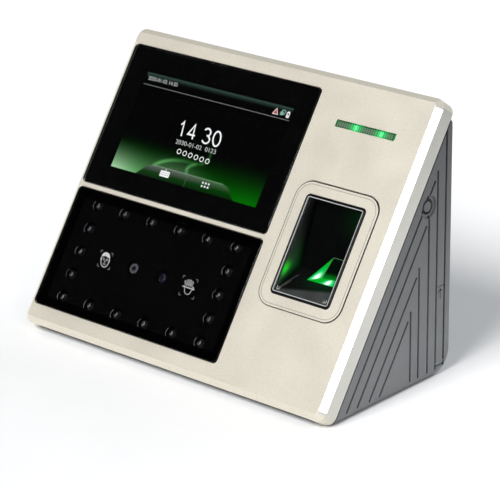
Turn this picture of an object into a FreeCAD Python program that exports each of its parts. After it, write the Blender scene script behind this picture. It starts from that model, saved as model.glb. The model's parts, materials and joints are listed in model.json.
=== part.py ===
"""Desk and wall terminal that recognises a face or a fingerprint.

A wedge-shaped rear housing carries a bezel that leans back. The bezel holds a touch screen, a dark
camera window over a ring of infrared lamps, a status light and a fingerprint reader.
Axes: X to the right of someone facing the terminal, Y towards its back, Z up. The origin is on the
surface that the terminal stands on, under the middle of its bounding box. Millimetres and degrees.

Two frames are used. Level pieces are drawn in the axes above. Face pieces are drawn lying down:
their x runs across the face, their y up its slope from the bottom edge and their z out of it, and
their body's placement leans them back.
"""
import FreeCAD, Part
import Sketcher
import math
import os
import re

DIMENSIONS = {
    # Bezel: a shallow tray that leans back, with bevelled edges
    "tilt": 34.0, "bezel_width": 192.0, "bezel_length": 157.5, "bezel_depth": 11.0,
    "bezel_bevel": 2.85, "bezel_corner": 5.0, "bezel_wall": 2.4, "bezel_brow": 6.0, "bezel_plate": 3.6,
    "bezel_heel": 9.5, "notch_half": 86.0, "notch_flare": 5.0, "foot_proud": 0.6,
    "boss_x": 89.2, "boss_y": 143.0, "boss_wide": 6.4, "pilot_wide": 2.5,
    # Two dark glasses, one above the other
    "glass_width": 120.2, "glass_thick": 1.8, "glass_corner": 2.0, "glass_x": -31.5,
    "touch_height": 73.6, "touch_y": 111.8, "window_height": 61.8, "window_y": 41.1,
    "glass_gap": 0.2, "glue_thick": 0.3, "glue_wide": 2.2,
    # Display module and its bracket
    "lcd_width": 105.5, "lcd_height": 67.2, "lcd_thick": 2.9, "lcd_y": 111.3,
    "bracket_thick": 0.8, "bracket_gap": 0.1,
    # Face-recognition board behind the lower glass
    "lamp_pitch_x": 18.18, "lamp_pitch_y": 12.0, "lamp_wide": 5.0, "lamp_hole": 6.4,
    "shield_thick": 2.4, "lamp_board_z": -7.6, "board_thick": 1.6, "lens_x": 9.4,
    "lens_wide": 7.0, "camera_side": 16.0, "camera_board_z": -21.0,
    # Fingerprint reader
    "reader_x": 61.0, "reader_y": 74.4, "surround_width": 49.1, "surround_height": 62.1,
    "surround_corner": 8.5, "surround_gap": 0.4, "surround_thick": 2.0,
    "frame_width": 35.4, "frame_height": 49.6, "frame_corner": 2.3, "frame_proud": 0.6,
    "frame_band": 1.6, "prism_thick": 3.3, "well_depth": 20.4,
    # Status light
    "light_x": 60.8, "light_y": 134.5, "light_width": 35.2, "light_height": 3.2,
    "led_left": -6.2, "led_right": 9.0,
    # Rear housing: a closed wedge with grooved sides
    "housing_half": 95.5, "housing_top": 152.0, "seam": 0.6, "side_wall": 2.6, "back_wall": 4.0,
    "floor_thick": 2.6, "heel_round": 11.0, "top_round": 3.0, "edge_round": 2.2,
    "groove_wide": 1.3, "groove_deep": 1.2, "groove_foot": 3.3, "groove_break": 1.8,
    "groove_overlap": 4.4, "seam_shadow": 0.8, "shadow_deep": 0.9,
    "slant_1": 17.9, "slant_2": 24.2, "slant_3": 31.4, "slant_4": 37.6,
    "upright_0": 5.5, "upright_1": 11.7, "upright_2": 17.9, "upright_3": 24.9, "upright_4": 30.9,
    # Power button in the right-hand side
    "button_y": 29.3, "button_z": 86.5, "button_recess": 11.0, "button_hole": 7.6,
    "button_wide": 5.2, "button_flange": 9.0, "button_dish": 0.7,
    # Hinged cover over the USB socket
    "cover_top": 44.6, "cover_thick": 1.8, "cover_gap": 0.35, "hinge_x": 94.5, "hinge_z": 6.0,
    "barrel_radius": 1.0, "pin_wide": 1.2, "usb_z": 27.0,
    # Wall plate, its recess and the cable bay
    "plate_width": 149.0, "plate_low": 16.5, "plate_high": 111.5, "plate_thick": 1.2,
    "recess_deep": 1.6, "bay_half": 52.0, "bay_low": 9.0, "bay_high": 48.0,
    "hole_span_x": 128.0, "hole_span_z": 72.0, "hole_mid_z": 64.0, "hole_wide": 5.0,
    # Main board and what stands on it
    "main_y": 28.2, "main_half": 75.0, "main_low": 14.0, "main_high": 98.0, "post_x": 70.0,
    "tamper_x": -40.0, "tamper_z": 84.0, "reset_x": 44.0, "reset_z": 41.0,
    "foot_wide": 9.0, "foot_sunk": 0.8, "foot_x": 78.0, "foot_front": -20.0, "foot_rear": 28.0,
    "low_screw_x": 84.0, "low_screw_y": -33.0,
}
SHEET = "Dims"
WORD = re.compile(r"[a-z]\w*")
LEVEL, FACE = "level", "face"
ADD, CUT = "Additive", "Subtractive"
ACROSS, ALONG, UPWARD = FreeCAD.Vector(1, 0, 0), FreeCAD.Vector(0, 1, 0), FreeCAD.Vector(0, 0, 1)

# The face frame's origin, and the plane of the housing's back
FACE_Y = "(-((bezel_bevel + bezel_length) * sin(tilt) + bezel_depth * cos(tilt)) / 2)"
FACE_Z = "(foot_proud + bezel_heel * sin(tilt))"
BACK_Y = "(((bezel_length - bezel_bevel) * sin(tilt) + bezel_depth * cos(tilt)) / 2)"

doc = FreeCAD.newDocument("FaceTerminal")
sheet = doc.addObject("Spreadsheet::Sheet", SHEET)
for row, (name, value) in enumerate(DIMENSIONS.items(), 1):
    sheet.set(f"A{row}", name)
    sheet.set(f"B{row}", str(value))
    sheet.setAlias(f"B{row}", name)
doc.recompute()
nodes = []


# ---------------------------------------------------------------- expressions and small helpers
def cells(text):
    """Point every dimension's name in an expression at its cell."""
    return WORD.sub(lambda word: f"{SHEET}.{word[0]}" if word[0] in DIMENSIONS else word[0], str(text))


def bind(item, settings):
    for prop, text in settings.items():
        item.setExpression(prop, cells(text))


def face_y(up, deep):
    """World Y of a point a distance up the face's slope and a depth behind it."""
    return f"({FACE_Y} + ({up}) * sin(tilt) + ({deep}) * cos(tilt))"


def face_z(up, deep):
    """World Z of the same point."""
    return f"({FACE_Z} + ({up}) * cos(tilt) - ({deep}) * sin(tilt))"


def new_body(label, frame):
    body = doc.addObject("PartDesign::Body", label)
    body.Label = label
    if frame == FACE:
        body.Placement = FreeCAD.Placement(FreeCAD.Vector(), FreeCAD.Rotation(ACROSS, 1))
        bind(body, {"Placement.Rotation.Angle": "90 - tilt", "Placement.Base.y": FACE_Y,
                    "Placement.Base.z": FACE_Z})
    nodes.append(body)
    return body


def primitive(body, kind, shape, corner, sizes, turn):
    """One box or cylinder of a body; turn is an axis and an angle about it."""
    item = body.newObject(f"PartDesign::{kind}{shape}", shape)
    if turn:
        item.Placement = FreeCAD.Placement(FreeCAD.Vector(), FreeCAD.Rotation(turn[0], 1))
        bind(item, {"Placement.Rotation.Angle": turn[1]})
    bind(item, dict(zip(("Placement.Base.x", "Placement.Base.y", "Placement.Base.z"), corner)))
    bind(item, sizes)
    return item


def block(body, kind, x, y, z, dx, dy, dz, turn=None):
    """A box whose low corner is at (x, y, z)."""
    return primitive(body, kind, "Box", (x, y, z), {"Length": dx, "Width": dy, "Height": dz}, turn)


def slab(body, kind, x, y, z, dx, dy, dz):
    """A box centred on x and y that stands on z."""
    return block(body, kind, f"({x}) - ({dx}) / 2", f"({y}) - ({dy}) / 2", z, dx, dy, dz)


def rod(body, kind, x, y, z, wide, length, axis=UPWARD):
    """A cylinder of a diameter, from (x, y, z) along an axis."""
    turn = {0: (ALONG, "90"), 1: (ACROSS, "-90"), 2: None}[[axis.x, axis.y, axis.z].index(1)]
    return primitive(body, kind, "Cylinder", (x, y, z), {"Radius": f"({wide}) / 2", "Height": length},
                     turn)


def straight_edges(shape, direction):
    """Edge names and their middles, for the straight edges along a direction."""
    found = {}
    for number, edge in enumerate(shape.Edges, 1):
        if edge.Curve.TypeId != "Part::GeomLine":
            continue
        run = edge.Vertexes[-1].Point.sub(edge.Vertexes[0].Point).normalize()
        if abs(run.dot(direction)) > 0.999:
            found[f"Edge{number}"] = edge.CenterOfMass
    return found


def dress(body, kind, names, prop, size):
    """A fillet or chamfer on the body's newest shape."""
    base = body.Tip
    item = body.newObject(f"PartDesign::{kind}", kind)
    item.Base = (base, names)
    bind(item, {prop: size})
    doc.recompute()
    return item


def round_corners(body, before, radius):
    """Round the upright corners that the newest feature made."""
    doc.recompute()
    known = {(round(mid.x, 2), round(mid.y, 2)) for mid in before.values()}
    names = [name for name, mid in straight_edges(body.Tip.Shape, UPWARD).items()
             if (round(mid.x, 2), round(mid.y, 2)) not in known]
    dress(body, "Fillet", names, "Radius", radius)


def soft_slab(body, kind, x, y, z, dx, dy, dz, radius):
    """A slab whose four upright corners are rounded."""
    doc.recompute()
    before = straight_edges(body.Tip.Shape, UPWARD) if body.Tip else {}
    slab(body, kind, x, y, z, dx, dy, dz)
    round_corners(body, before, radius)


def outline(body, plane, points):
    """A closed sketch of straight runs through points that are pairs of expressions."""
    sketch = body.newObject("Sketcher::SketchObject", "Outline")
    support = [item for item in body.Origin.OriginFeatures if item.Role == plane][0]
    sketch.AttachmentSupport = [(support, "")]
    sketch.MapMode = "FlatFace"
    count = len(points)
    rough = [FreeCAD.Vector(math.cos(2 * math.pi * i / count), math.sin(2 * math.pi * i / count), 0)
             for i in range(count)]
    for i in range(count):
        sketch.addGeometry(Part.LineSegment(rough[i], rough[(i + 1) % count]))
    for i, point in enumerate(points):
        sketch.addConstraint(Sketcher.Constraint("Coincident", i, 2, (i + 1) % count, 1))
        for kind, start, text in (("DistanceX", rough[i].x, point[0]), ("DistanceY", rough[i].y, point[1])):
            number = sketch.addConstraint(Sketcher.Constraint(kind, i, 1, start))
            bind(sketch, {f"Constraints[{number}]": text})
    return sketch


def extrude(body, kind, sketch, length, symmetric):
    item = body.newObject(f"PartDesign::{kind}", kind)
    item.Profile = sketch
    item.SideType = "Symmetric" if symmetric else "One side"
    bind(item, {"Length": length})
    doc.recompute()
    return item


# ---------------------------------------------------------------- bezel
def make_bezel():
    """Painted tray with bevelled edges, two glass seats, the reader's seat and the light's slot."""
    bezel = new_body("front_bezel", FACE)
    soft_slab(bezel, ADD, "0", "bezel_length / 2", "-bezel_depth", "bezel_width", "bezel_length",
              "bezel_depth", "bezel_corner")
    rim = [f"Edge{number}" for number, edge in enumerate(bezel.Tip.Shape.Edges, 1)
           if abs(edge.BoundBox.ZMin) < 0.01 and abs(edge.BoundBox.ZMax) < 0.01]
    dress(bezel, "Chamfer", rim, "Size", "bezel_bevel")
    soft_slab(bezel, CUT, "0", "(bezel_length + bezel_wall - bezel_brow) / 2", "-bezel_depth",
              "bezel_width - 2 * bezel_wall", "bezel_length - bezel_wall - bezel_brow",
              "bezel_depth - bezel_plate", "bezel_corner - bezel_wall")
    seat = "(glass_thick + glue_thick)"
    for middle, height, opening in (("touch_y", "touch_height", "lcd_height + 0.6"),
                                    ("window_y", "window_height", "window_height - 8")):
        soft_slab(bezel, CUT, "glass_x", middle, f"-{seat}", "glass_width + 2 * glass_gap",
                  f"{height} + 2 * glass_gap", seat, "glass_corner + glass_gap")
        opening_y = "lcd_y" if middle == "touch_y" else middle
        opening_wide = "lcd_width + 0.6" if middle == "touch_y" else "glass_width - 8"
        slab(bezel, CUT, "glass_x", opening_y, "-bezel_plate - 1", opening_wide, opening, "bezel_plate + 1")
    soft_slab(bezel, CUT, "reader_x", "reader_y", "-surround_thick", "surround_width",
              "surround_height", "surround_thick", "surround_corner")
    slab(bezel, CUT, "reader_x", "reader_y", "-bezel_plate - 1", "frame_width + 0.4",
         "frame_height + 0.4", "bezel_plate + 1")
    slab(bezel, CUT, "light_x", "light_y", "-bezel_plate - 1", "light_width", "light_height",
         "bezel_plate + 2")
    make_bezel_bosses(bezel)
    notch = outline(bezel, "XZ_Plane", [
        ("-notch_half", "-bezel_bevel"), ("notch_half", "-bezel_bevel"),
        ("notch_half + notch_flare", "-bezel_heel"), ("notch_half + notch_flare", "-bezel_depth - 1"),
        ("-notch_half - notch_flare", "-bezel_depth - 1"), ("-notch_half - notch_flare", "-bezel_heel")])
    extrude(bezel, "Pocket", notch, "bezel_wall + 0.1", False)
    # Level cut along the ground under the lower edge
    low_y = "(foot_proud - 10 - bezel_heel * sin(tilt) - foot_proud)"
    level_turn = (ACROSS, "tilt - 90")
    block(bezel, CUT, "-bezel_width", f"-20 * sin(tilt) + {low_y} * cos(tilt)",
          f"20 * cos(tilt) + {low_y} * sin(tilt)", "2 * bezel_width", "60", "10", level_turn)


def make_bezel_bosses(bezel):
    """Screw posts behind the plate, and two lugs over the housing's floor."""
    for side in (1, -1):
        rod(bezel, ADD, f"{side} * boss_x", "boss_y", "-bezel_depth", "boss_wide",
            "bezel_depth - bezel_plate + 0.4")
        rod(bezel, CUT, f"{side} * boss_x", "boss_y", "-bezel_depth", "pilot_wide", "7.2")
        for lift in (-20, 20):
            post = (f"glass_x + {side} * 57.8", f"window_y + {lift}")
            rod(bezel, ADD, *post, "lamp_board_z", "3.6", "-lamp_board_z - bezel_plate + 0.4")
            rod(bezel, CUT, *post, "lamp_board_z", "1.6", "3.6")
        # Gusset from the plate and the side wall to the lug
        gusset_x = "78" if side == 1 else "-bezel_width / 2 + bezel_wall / 2"
        block(bezel, ADD, gusset_x, "3.1", "-bezel_depth + 0.1", "bezel_width / 2 - bezel_wall / 2 - 78",
              "7", "bezel_depth - bezel_plate + 0.2")
        rod(bezel, ADD, f"light_x + {side} * 20.9", "light_y", "-7.4", "2.6", "4.2")
        lug_x = f"{side} * low_screw_x - 5"
        low, high = "foot_proud + floor_thick + 0.3", "12"
        lug_low = f"({low} - {FACE_Z})"
        lug_front = f"(low_screw_y - 7 - {FACE_Y})"
        block(bezel, ADD, lug_x, f"{lug_front} * sin(tilt) + {lug_low} * cos(tilt)",
              f"-{lug_front} * cos(tilt) + {lug_low} * sin(tilt)", "10", "11.5", f"{high} - ({low})",
              (ACROSS, "tilt - 90"))
        hole_y = f"(low_screw_y - {FACE_Y})"
        primitive(bezel, CUT, "Cylinder",
                  (f"{side} * low_screw_x", f"{hole_y} * sin(tilt) + {lug_low} * cos(tilt)",
                   f"-{hole_y} * cos(tilt) + {lug_low} * sin(tilt)"),
                  {"Radius": "pilot_wide / 2", "Height": "7"}, (ACROSS, "tilt - 90"))


# ---------------------------------------------------------------- glasses and display
def make_glasses():
    """Two flush glasses, each on a thin ring of glue."""
    glue = new_body("glass_glue", FACE)
    for glass, middle, height in (("touch_panel", "touch_y", "touch_height"),
                                  ("camera_window", "window_y", "window_height")):
        pane = new_body(glass, FACE)
        soft_slab(pane, ADD, "glass_x", middle, "-glass_thick", "glass_width", height, "glass_thick",
                  "glass_corner")
        slab(glue, ADD, "glass_x", middle, "-glass_thick - glue_thick", "glass_width - 1",
             f"{height} - 1", "glue_thick")
        slab(glue, CUT, "glass_x", middle, "-glass_thick - glue_thick", "glass_width - 1 - 2 * glue_wide",
             f"{height} - 1 - 2 * glue_wide", "glue_thick")


def make_display():
    lcd = new_body("lcd_module", FACE)
    slab(lcd, ADD, "glass_x", "lcd_y", "-glass_thick - glue_thick - lcd_thick", "lcd_width",
         "lcd_height", "lcd_thick + glue_thick - 0.1")
    bracket_z = "-glass_thick - glue_thick - lcd_thick - bracket_gap - bracket_thick"
    bracket = new_body("lcd_bracket", FACE)
    soft_slab(bracket, ADD, "glass_x", "lcd_y", bracket_z, "lcd_width + 3.4", "lcd_height + 1.8",
              "bracket_thick", "3")
    slab(bracket, CUT, "glass_x", "lcd_y", f"{bracket_z} - 1", "lcd_width - 24", "lcd_height - 22",
         "bracket_thick + 2")
    for side in (1, -1):
        slab(bracket, ADD, f"glass_x + {side} * (lcd_width / 2 + 1.05)", "lcd_y", bracket_z, "1.2", "30",
             f"-bezel_plate - ({bracket_z})")


def lamp_places():
    """Middles of the infrared lamps: one round of a six-by-five grid."""
    for column in range(6):
        for level in range(5):
            if column in (0, 5) or level in (0, 4):
                yield (f"glass_x + {column - 2.5} * lamp_pitch_x",
                       f"window_y + {level - 2} * lamp_pitch_y")


def make_face_reader():
    """Light shield, lamp board, lamps and the two cameras behind the lower glass."""
    shield = new_body("lamp_shield", FACE)
    shield_z = "-glass_thick - glue_thick - shield_thick"
    slab(shield, ADD, "glass_x", "window_y", shield_z, "glass_width - 8.6", "window_height - 8.6",
         "shield_thick")
    for place in lamp_places():
        rod(shield, CUT, *place, f"{shield_z} - 1", "lamp_hole", "shield_thick + 2")
    board = new_body("lamp_board", FACE)
    slab(board, ADD, "glass_x", "window_y", "lamp_board_z - board_thick", "119", "54", "board_thick")
    lamps = new_body("infrared_lamps", FACE)
    for place in lamp_places():
        rod(lamps, ADD, *place, "lamp_board_z", "lamp_wide + 0.8", "1")
        rod(lamps, ADD, *place, "lamp_board_z + 1", "lamp_wide", "1.7")
        ball = primitive(lamps, ADD, "Sphere", (*place, "lamp_board_z + 2.7"),
                         {"Radius": "lamp_wide / 2"}, None)
        ball.Label = "Dome"
    for name, side in (("colour_camera", -1), ("infrared_camera", 1)):
        spot = f"glass_x + {side} * lens_x"
        rod(shield, CUT, spot, "window_y", f"{shield_z} - 1", "lens_wide + 0.6", "shield_thick + 2")
        rod(board, CUT, spot, "window_y", "lamp_board_z - 3", "lens_wide + 0.6", "4")
        camera = new_body(f"{name}_module", FACE)
        slab(camera, ADD, spot, "window_y", "camera_board_z", "camera_side", "camera_side", "7")
        rod(camera, ADD, spot, "window_y", "camera_board_z + 6", "lens_wide", "12")
        rod(camera, CUT, spot, "window_y", "camera_board_z + 17", "lens_wide - 1.6", "2")
        lens = new_body(f"{name}_lens", FACE)
        rod(lens, ADD, spot, "window_y", "camera_board_z + 17", "lens_wide - 1.7", "0.7")
    card = new_body("camera_board", FACE)
    slab(card, ADD, "glass_x", "window_y", "camera_board_z - board_thick", "62", "34", "board_thick")
    posts = new_body("camera_standoffs", FACE)
    for x in (-27, 27):
        for y in (-13, 13):
            rod(posts, ADD, f"glass_x + {x}", f"window_y + {y}", "camera_board_z", "4.4",
                "lamp_board_z - board_thick - camera_board_z")


# ---------------------------------------------------------------- status light
def make_status_light():
    pipe = new_body("status_light_pipe", FACE)
    slab(pipe, ADD, "light_x", "light_y", "-bezel_plate", "light_width - 0.2", "light_height - 0.2",
         "bezel_plate - 0.15")
    slab(pipe, ADD, "light_x", "light_y", "-bezel_plate - 1.4", "light_width + 4", "light_height + 3",
         "1.4")
    board = new_body("status_light_board", FACE)
    slab(board, ADD, "light_x", "light_y", "-9", "45", "9", "board_thick")
    leds = new_body("status_leds", FACE)
    for place in ("led_left", "led_right"):
        slab(leds, ADD, f"light_x + {place}", "light_y", "-9 + board_thick", "3.2", "2.8", "1.2")


# ---------------------------------------------------------------- fingerprint reader
def make_fingerprint_reader():
    surround = new_body("fingerprint_surround", FACE)
    soft_slab(surround, ADD, "reader_x", "reader_y", "-surround_thick",
              "surround_width - 2 * surround_gap", "surround_height - 2 * surround_gap",
              "surround_thick", "surround_corner - surround_gap")
    slab(surround, CUT, "reader_x", "reader_y", "-surround_thick - 1", "frame_width + 0.2",
         "frame_height + 0.2", "surround_thick + 2")
    frame = new_body("fingerprint_frame", FACE)
    soft_slab(frame, ADD, "reader_x", "reader_y", "-bezel_plate", "frame_width", "frame_height",
              "bezel_plate + frame_proud", "frame_corner")
    slab(frame, CUT, "reader_x", "reader_y", "-bezel_plate - 1", "frame_width - 2 * frame_band",
         "frame_height - 2 * frame_band", "bezel_plate + frame_proud + 2")
    doc.recompute()
    rim = [f"Edge{number}" for number, edge in enumerate(frame.Tip.Shape.Edges, 1)
           if edge.BoundBox.ZMin > DIMENSIONS["frame_proud"] - 0.01]
    dress(frame, "Chamfer", rim, "Size", "0.5")
    prism = new_body("fingerprint_prism", FACE)
    slab(prism, ADD, "reader_x", "reader_y", "-bezel_plate", "frame_width - 2 * frame_band - 0.1",
         "frame_height - 2 * frame_band - 0.1", "prism_thick")
    well = new_body("fingerprint_well", FACE)
    well_z = "-bezel_plate - well_depth"
    slab(well, ADD, "reader_x", "reader_y", well_z, "frame_width", "frame_height", "well_depth")
    slab(well, ADD, "reader_x", "reader_y", "-bezel_plate - 2", "42", "60", "2")
    slab(well, CUT, "reader_x", "reader_y", f"{well_z} + 2", "frame_width - 2 * frame_band - 1.2",
         "frame_height - 2 * frame_band - 1.2", "well_depth")
    mirror = new_body("fingerprint_mirror", FACE)
    # A dark plate that leans across the well, from its upper front to its lower back
    inside = "(frame_width - 2 * frame_band - 1.2)"
    block(mirror, ADD, f"reader_x - {inside} / 2", "reader_y - 10", "-bezel_plate - well_depth + 3.2",
          inside, "30", "1", (ACROSS, "24"))
    leds = new_body("fingerprint_leds", FACE)
    for side in (-1, 1):
        slab(leds, ADD, f"reader_x + 5 + {side} * 3", "reader_y - 17.5", "-bezel_plate - well_depth + 2",
             "3.5", "2.8", "1.9")
    board = new_body("fingerprint_board", FACE)
    slab(board, ADD, "reader_x", "reader_y", "-bezel_plate - well_depth - board_thick", "36", "50",
         "board_thick")


def make_card_reader():
    """Printed aerial for proximity cards, behind the blank lower corner of the bezel."""
    card = new_body("card_aerial_board", FACE)
    slab(card, ADD, "reader_x - 7", "25", "-bezel_plate - board_thick - 2", "40", "28", "board_thick")
    pads = new_body("card_aerial_pads", FACE)
    for x in (-16, 16):
        for y in (-10, 10):
            slab(pads, ADD, f"reader_x - 7 + {x}", f"25 + {y}", "-bezel_plate - 2", "5", "5", "2")


# ---------------------------------------------------------------- rear housing
def make_housing():
    """Dark wedge shell: grooved sides, a recess and a cable bay in the back, a button and a cover."""
    housing = new_body("rear_housing", LEVEL)
    front, top = "(bezel_depth + seam)", "housing_top"
    bottom_up = f"((foot_proud - {FACE_Z} + {front} * sin(tilt)) / cos(tilt))"
    back_deep = f"(({BACK_Y} - {FACE_Y} - {top} * sin(tilt)) / cos(tilt))"
    outer = outline(housing, "YZ_Plane", [
        (face_y(bottom_up, front), "foot_proud"), (face_y(top, front), face_z(top, front)),
        (BACK_Y, face_z(top, back_deep)), (BACK_Y, "foot_proud")])
    extrude(housing, "Pad", outer, "2 * housing_half", True)
    across = straight_edges(housing.Tip.Shape, ACROSS)
    rearmost = max(mid.y for mid in across.values())
    rear = sorted((name for name, mid in across.items() if mid.y > rearmost - 0.01),
                  key=lambda name: across[name].z)
    dress(housing, "Fillet", rear[:1], "Radius", "heel_round")
    across = straight_edges(housing.Tip.Shape, ACROSS)
    highest = max(across, key=lambda name: across[name].z)
    corners = [name for name, mid in across.items() if abs(mid.y - rearmost) < 0.01 and name != highest]
    upper = max(corners, key=lambda name: across[name].z)
    dress(housing, "Fillet", [upper], "Radius", "top_round")
    round_housing_edges(housing)
    hollow_housing(housing, front)
    add_housing_lips(housing, front)
    cut_side_grooves(housing)
    cut_side_openings(housing)
    cut_back(housing)
    cut_floor(housing)


def round_housing_edges(housing):
    """Round both side outlines except along the seam with the bezel."""
    slope = FreeCAD.Vector(0, math.sin(math.radians(DIMENSIONS["tilt"])),
                           math.cos(math.radians(DIMENSIONS["tilt"])))
    seam_edges = set(straight_edges(housing.Tip.Shape, slope))
    half = DIMENSIONS["housing_half"]
    names = []
    for number, edge in enumerate(housing.Tip.Shape.Edges, 1):
        box = edge.BoundBox
        on_side = box.XLength < 0.01 and abs(abs(box.XMin) - half) < 0.01
        if on_side and f"Edge{number}" not in seam_edges:
            names.append(f"Edge{number}")
    dress(housing, "Fillet", names, "Radius", "edge_round")


def hollow_housing(housing, front):
    """Hollow the wedge from its front, leaving side walls, a floor, a back and a top."""
    mouth, inner_top = f"({front} - 1)", "(housing_top - side_wall)"
    inner_back, inner_floor = f"({BACK_Y} - back_wall)", "(foot_proud + floor_thick)"
    floor_up = f"(({inner_floor} - {FACE_Z} + {mouth} * sin(tilt)) / cos(tilt))"
    back_deep = f"(({inner_back} - {FACE_Y} - {inner_top} * sin(tilt)) / cos(tilt))"
    inner = outline(housing, "YZ_Plane", [
        (face_y(floor_up, mouth), inner_floor), (face_y(inner_top, mouth), face_z(inner_top, mouth)),
        (inner_back, face_z(inner_top, back_deep)), (inner_back, inner_floor)])
    extrude(housing, "Pocket", inner, "2 * (housing_half - side_wall)", True)


def add_housing_lips(housing, front):
    """Locating lips inside the bezel, screw posts, and the chin that fills the notch under it."""
    lean = (ACROSS, "90 - tilt")
    lip_deep = f"({front} + 3)"
    for side in (1, -1):
        outer_x = "(bezel_width / 2 - bezel_wall - 0.3)"
        lip_x = f"{outer_x} - 1.8" if side == 1 else f"-{outer_x}"
        block(housing, ADD, lip_x, face_y("22", lip_deep), face_z("22", lip_deep), "1.8", "115", "7.5", lean)
        tilted_rod(housing, ADD, f"{side} * (boss_x - 0.4)", "boss_y", "17.5", "8", f"17.5 - {front}")
        tilted_rod(housing, CUT, f"{side} * boss_x", "boss_y", "24.5", "6", "9.9")
        tilted_rod(housing, CUT, f"{side} * boss_x", "boss_y", "20", "3.2", "10")
    block(housing, ADD, "-boss_x + 6", face_y("housing_top - side_wall - 0.2", lip_deep),
          face_z("housing_top - side_wall - 0.2", lip_deep), "2 * boss_x - 12", "1.8", "7.5", lean)
    block(housing, ADD, "-notch_half + 0.4", face_y("0.3", f"{front} + 2"), face_z("0.3", f"{front} + 2"),
          "2 * notch_half - 0.8", "2.1", f"{front} + 2 - bezel_bevel - 0.4", lean)
    block(housing, CUT, "-bezel_width", "-100", "foot_proud - 20", "2 * bezel_width", "200", "20")


def tilted_rod(housing, kind, x, up, deep, wide, length):
    """A cylinder that starts a depth behind the face and runs towards it."""
    primitive(housing, kind, "Cylinder", (x, face_y(up, deep), face_z(up, deep)),
              {"Radius": f"({wide}) / 2", "Height": length}, (ACROSS, "90 - tilt"))


def cut_side_grooves(housing):
    """Chevrons of a slanting and an upright groove, and a shadow line along the seam, on both sides."""
    lean = (ACROSS, "90 - tilt")
    for side in (1, -1):
        x = "housing_half - groove_deep" if side == 1 else "-housing_half - 1"
        for pair in range(1, 5):
            deep, upright = f"slant_{pair}", f"({BACK_Y} - upright_{pair})"
            low = f"((groove_foot - {FACE_Z} + {deep} * sin(tilt)) / cos(tilt))"
            high = f"(({upright} - groove_break - {FACE_Y} - {deep} * cos(tilt)) / sin(tilt))"
            inner = f"({deep} + groove_wide / 2)"
            block(housing, CUT, x, face_y(low, inner), face_z(low, inner), "groove_deep + 1",
                  f"{high} - {low}", "groove_wide", lean)
            peak = f"({face_z(high, deep)} + groove_overlap)"
            block(housing, CUT, x, f"{upright} - groove_wide / 2", "groove_foot", "groove_deep + 1",
                  "groove_wide", f"{peak} - groove_foot")
        block(housing, CUT, x, f"{BACK_Y} - upright_0 - groove_wide / 2", "groove_foot",
              "groove_deep + 1", "groove_wide", "200")
        edge_x = "housing_half - shadow_deep" if side == 1 else "-housing_half - 1"
        shadow = "(bezel_depth + seam + seam_shadow)"
        block(housing, CUT, edge_x, face_y("-20", shadow), face_z("-20", shadow), "shadow_deep + 1",
              "housing_top + 40", "2 * seam_shadow", lean)


def cut_side_openings(housing):
    """The power button's dished seat and the hinged cover's opening, in the right-hand side."""
    rod(housing, CUT, "housing_half - button_dish", "button_y", "button_z", "button_recess", "2", ACROSS)
    rod(housing, CUT, "housing_half - 5", "button_y", "button_z", "button_hole", "6", ACROSS)
    inner = "(housing_half - side_wall)"
    for along in ("-6.3", "6.3"):
        rod(housing, ADD, f"{inner} - 9.3", f"button_y + {along}", "button_z", "3", "10", ACROSS)
    # The flap's square foot sweeps a circle through its corner as it opens
    low = "(hinge_z - barrel_radius * sqrt(2) - 0.15)"
    block(housing, CUT, "housing_half - side_wall - 1",
          f"{BACK_Y} - upright_1 + groove_wide / 2 - cover_gap", low, "side_wall + 2",
          "upright_1 - upright_0 - groove_wide + 2 * cover_gap", f"cover_top + cover_gap - {low}")
    rod(housing, CUT, "hinge_x", f"{BACK_Y} - upright_1 - 2.4", "hinge_z", "pin_wide",
        "upright_1 - upright_0 + 4.8", ALONG)
    # Rib that backs the socket's board
    socket_front = f"({BACK_Y} - (upright_1 + upright_0) / 2 - 2.85 - board_thick)"
    block(housing, ADD, f"{inner} - 16", f"{socket_front} - 1.5", "foot_proud + 1", "16.4", "1.5", "34")


def cut_back(housing):
    """Recess for the wall plate, the cable bay, board posts and the tamper plunger's hole."""
    soft_ends = f"{BACK_Y} - recess_deep"
    block(housing, CUT, "-plate_width / 2 - 0.5", soft_ends, "plate_low - 0.5", "plate_width + 1",
          "recess_deep + 1", "plate_high - plate_low + 1")
    block(housing, CUT, "-bay_half", f"{BACK_Y} - back_wall - 1", "bay_low", "2 * bay_half",
          "back_wall + 2", "bay_high - bay_low")
    rod(housing, CUT, "tamper_x", f"{BACK_Y} - back_wall - 1", "tamper_z", "5.4", "back_wall + 2", ALONG)
    board_back = "(main_y + board_thick)"
    for x in ("post_x", "-post_x"):
        for z in ("main_low + 7", "main_high - 5"):
            rod(housing, ADD, x, board_back, z, "6", f"{BACK_Y} - back_wall - {board_back} + 0.5", ALONG)
            rod(housing, CUT, x, board_back, z, "pilot_wide", "7", ALONG)


def cut_floor(housing):
    """Foot seats, low screw holes, the plate screw's hole and the speaker's slots."""
    for x in ("foot_x", "-foot_x"):
        for y in ("foot_front", "foot_rear"):
            rod(housing, CUT, x, y, "foot_proud - 1", "foot_wide + 0.4", "1 + foot_sunk")
    for side in (1, -1):
        rod(housing, CUT, f"{side} * low_screw_x", "low_screw_y", "foot_proud - 1", "6.2", "2.4")
        rod(housing, CUT, f"{side} * low_screw_x", "low_screw_y", "foot_proud", "3.2", "5")
    rod(housing, CUT, "0", "39", "foot_proud - 1", "6.2", "2.6")
    rod(housing, CUT, "0", "39", "foot_proud - 1", "3", "8")
    for slot in range(-4, 5):
        block(housing, CUT, f"-45 + {slot} * 3.6 - 0.9", "-6", "foot_proud - 1", "1.8", "22", "6")


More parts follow.
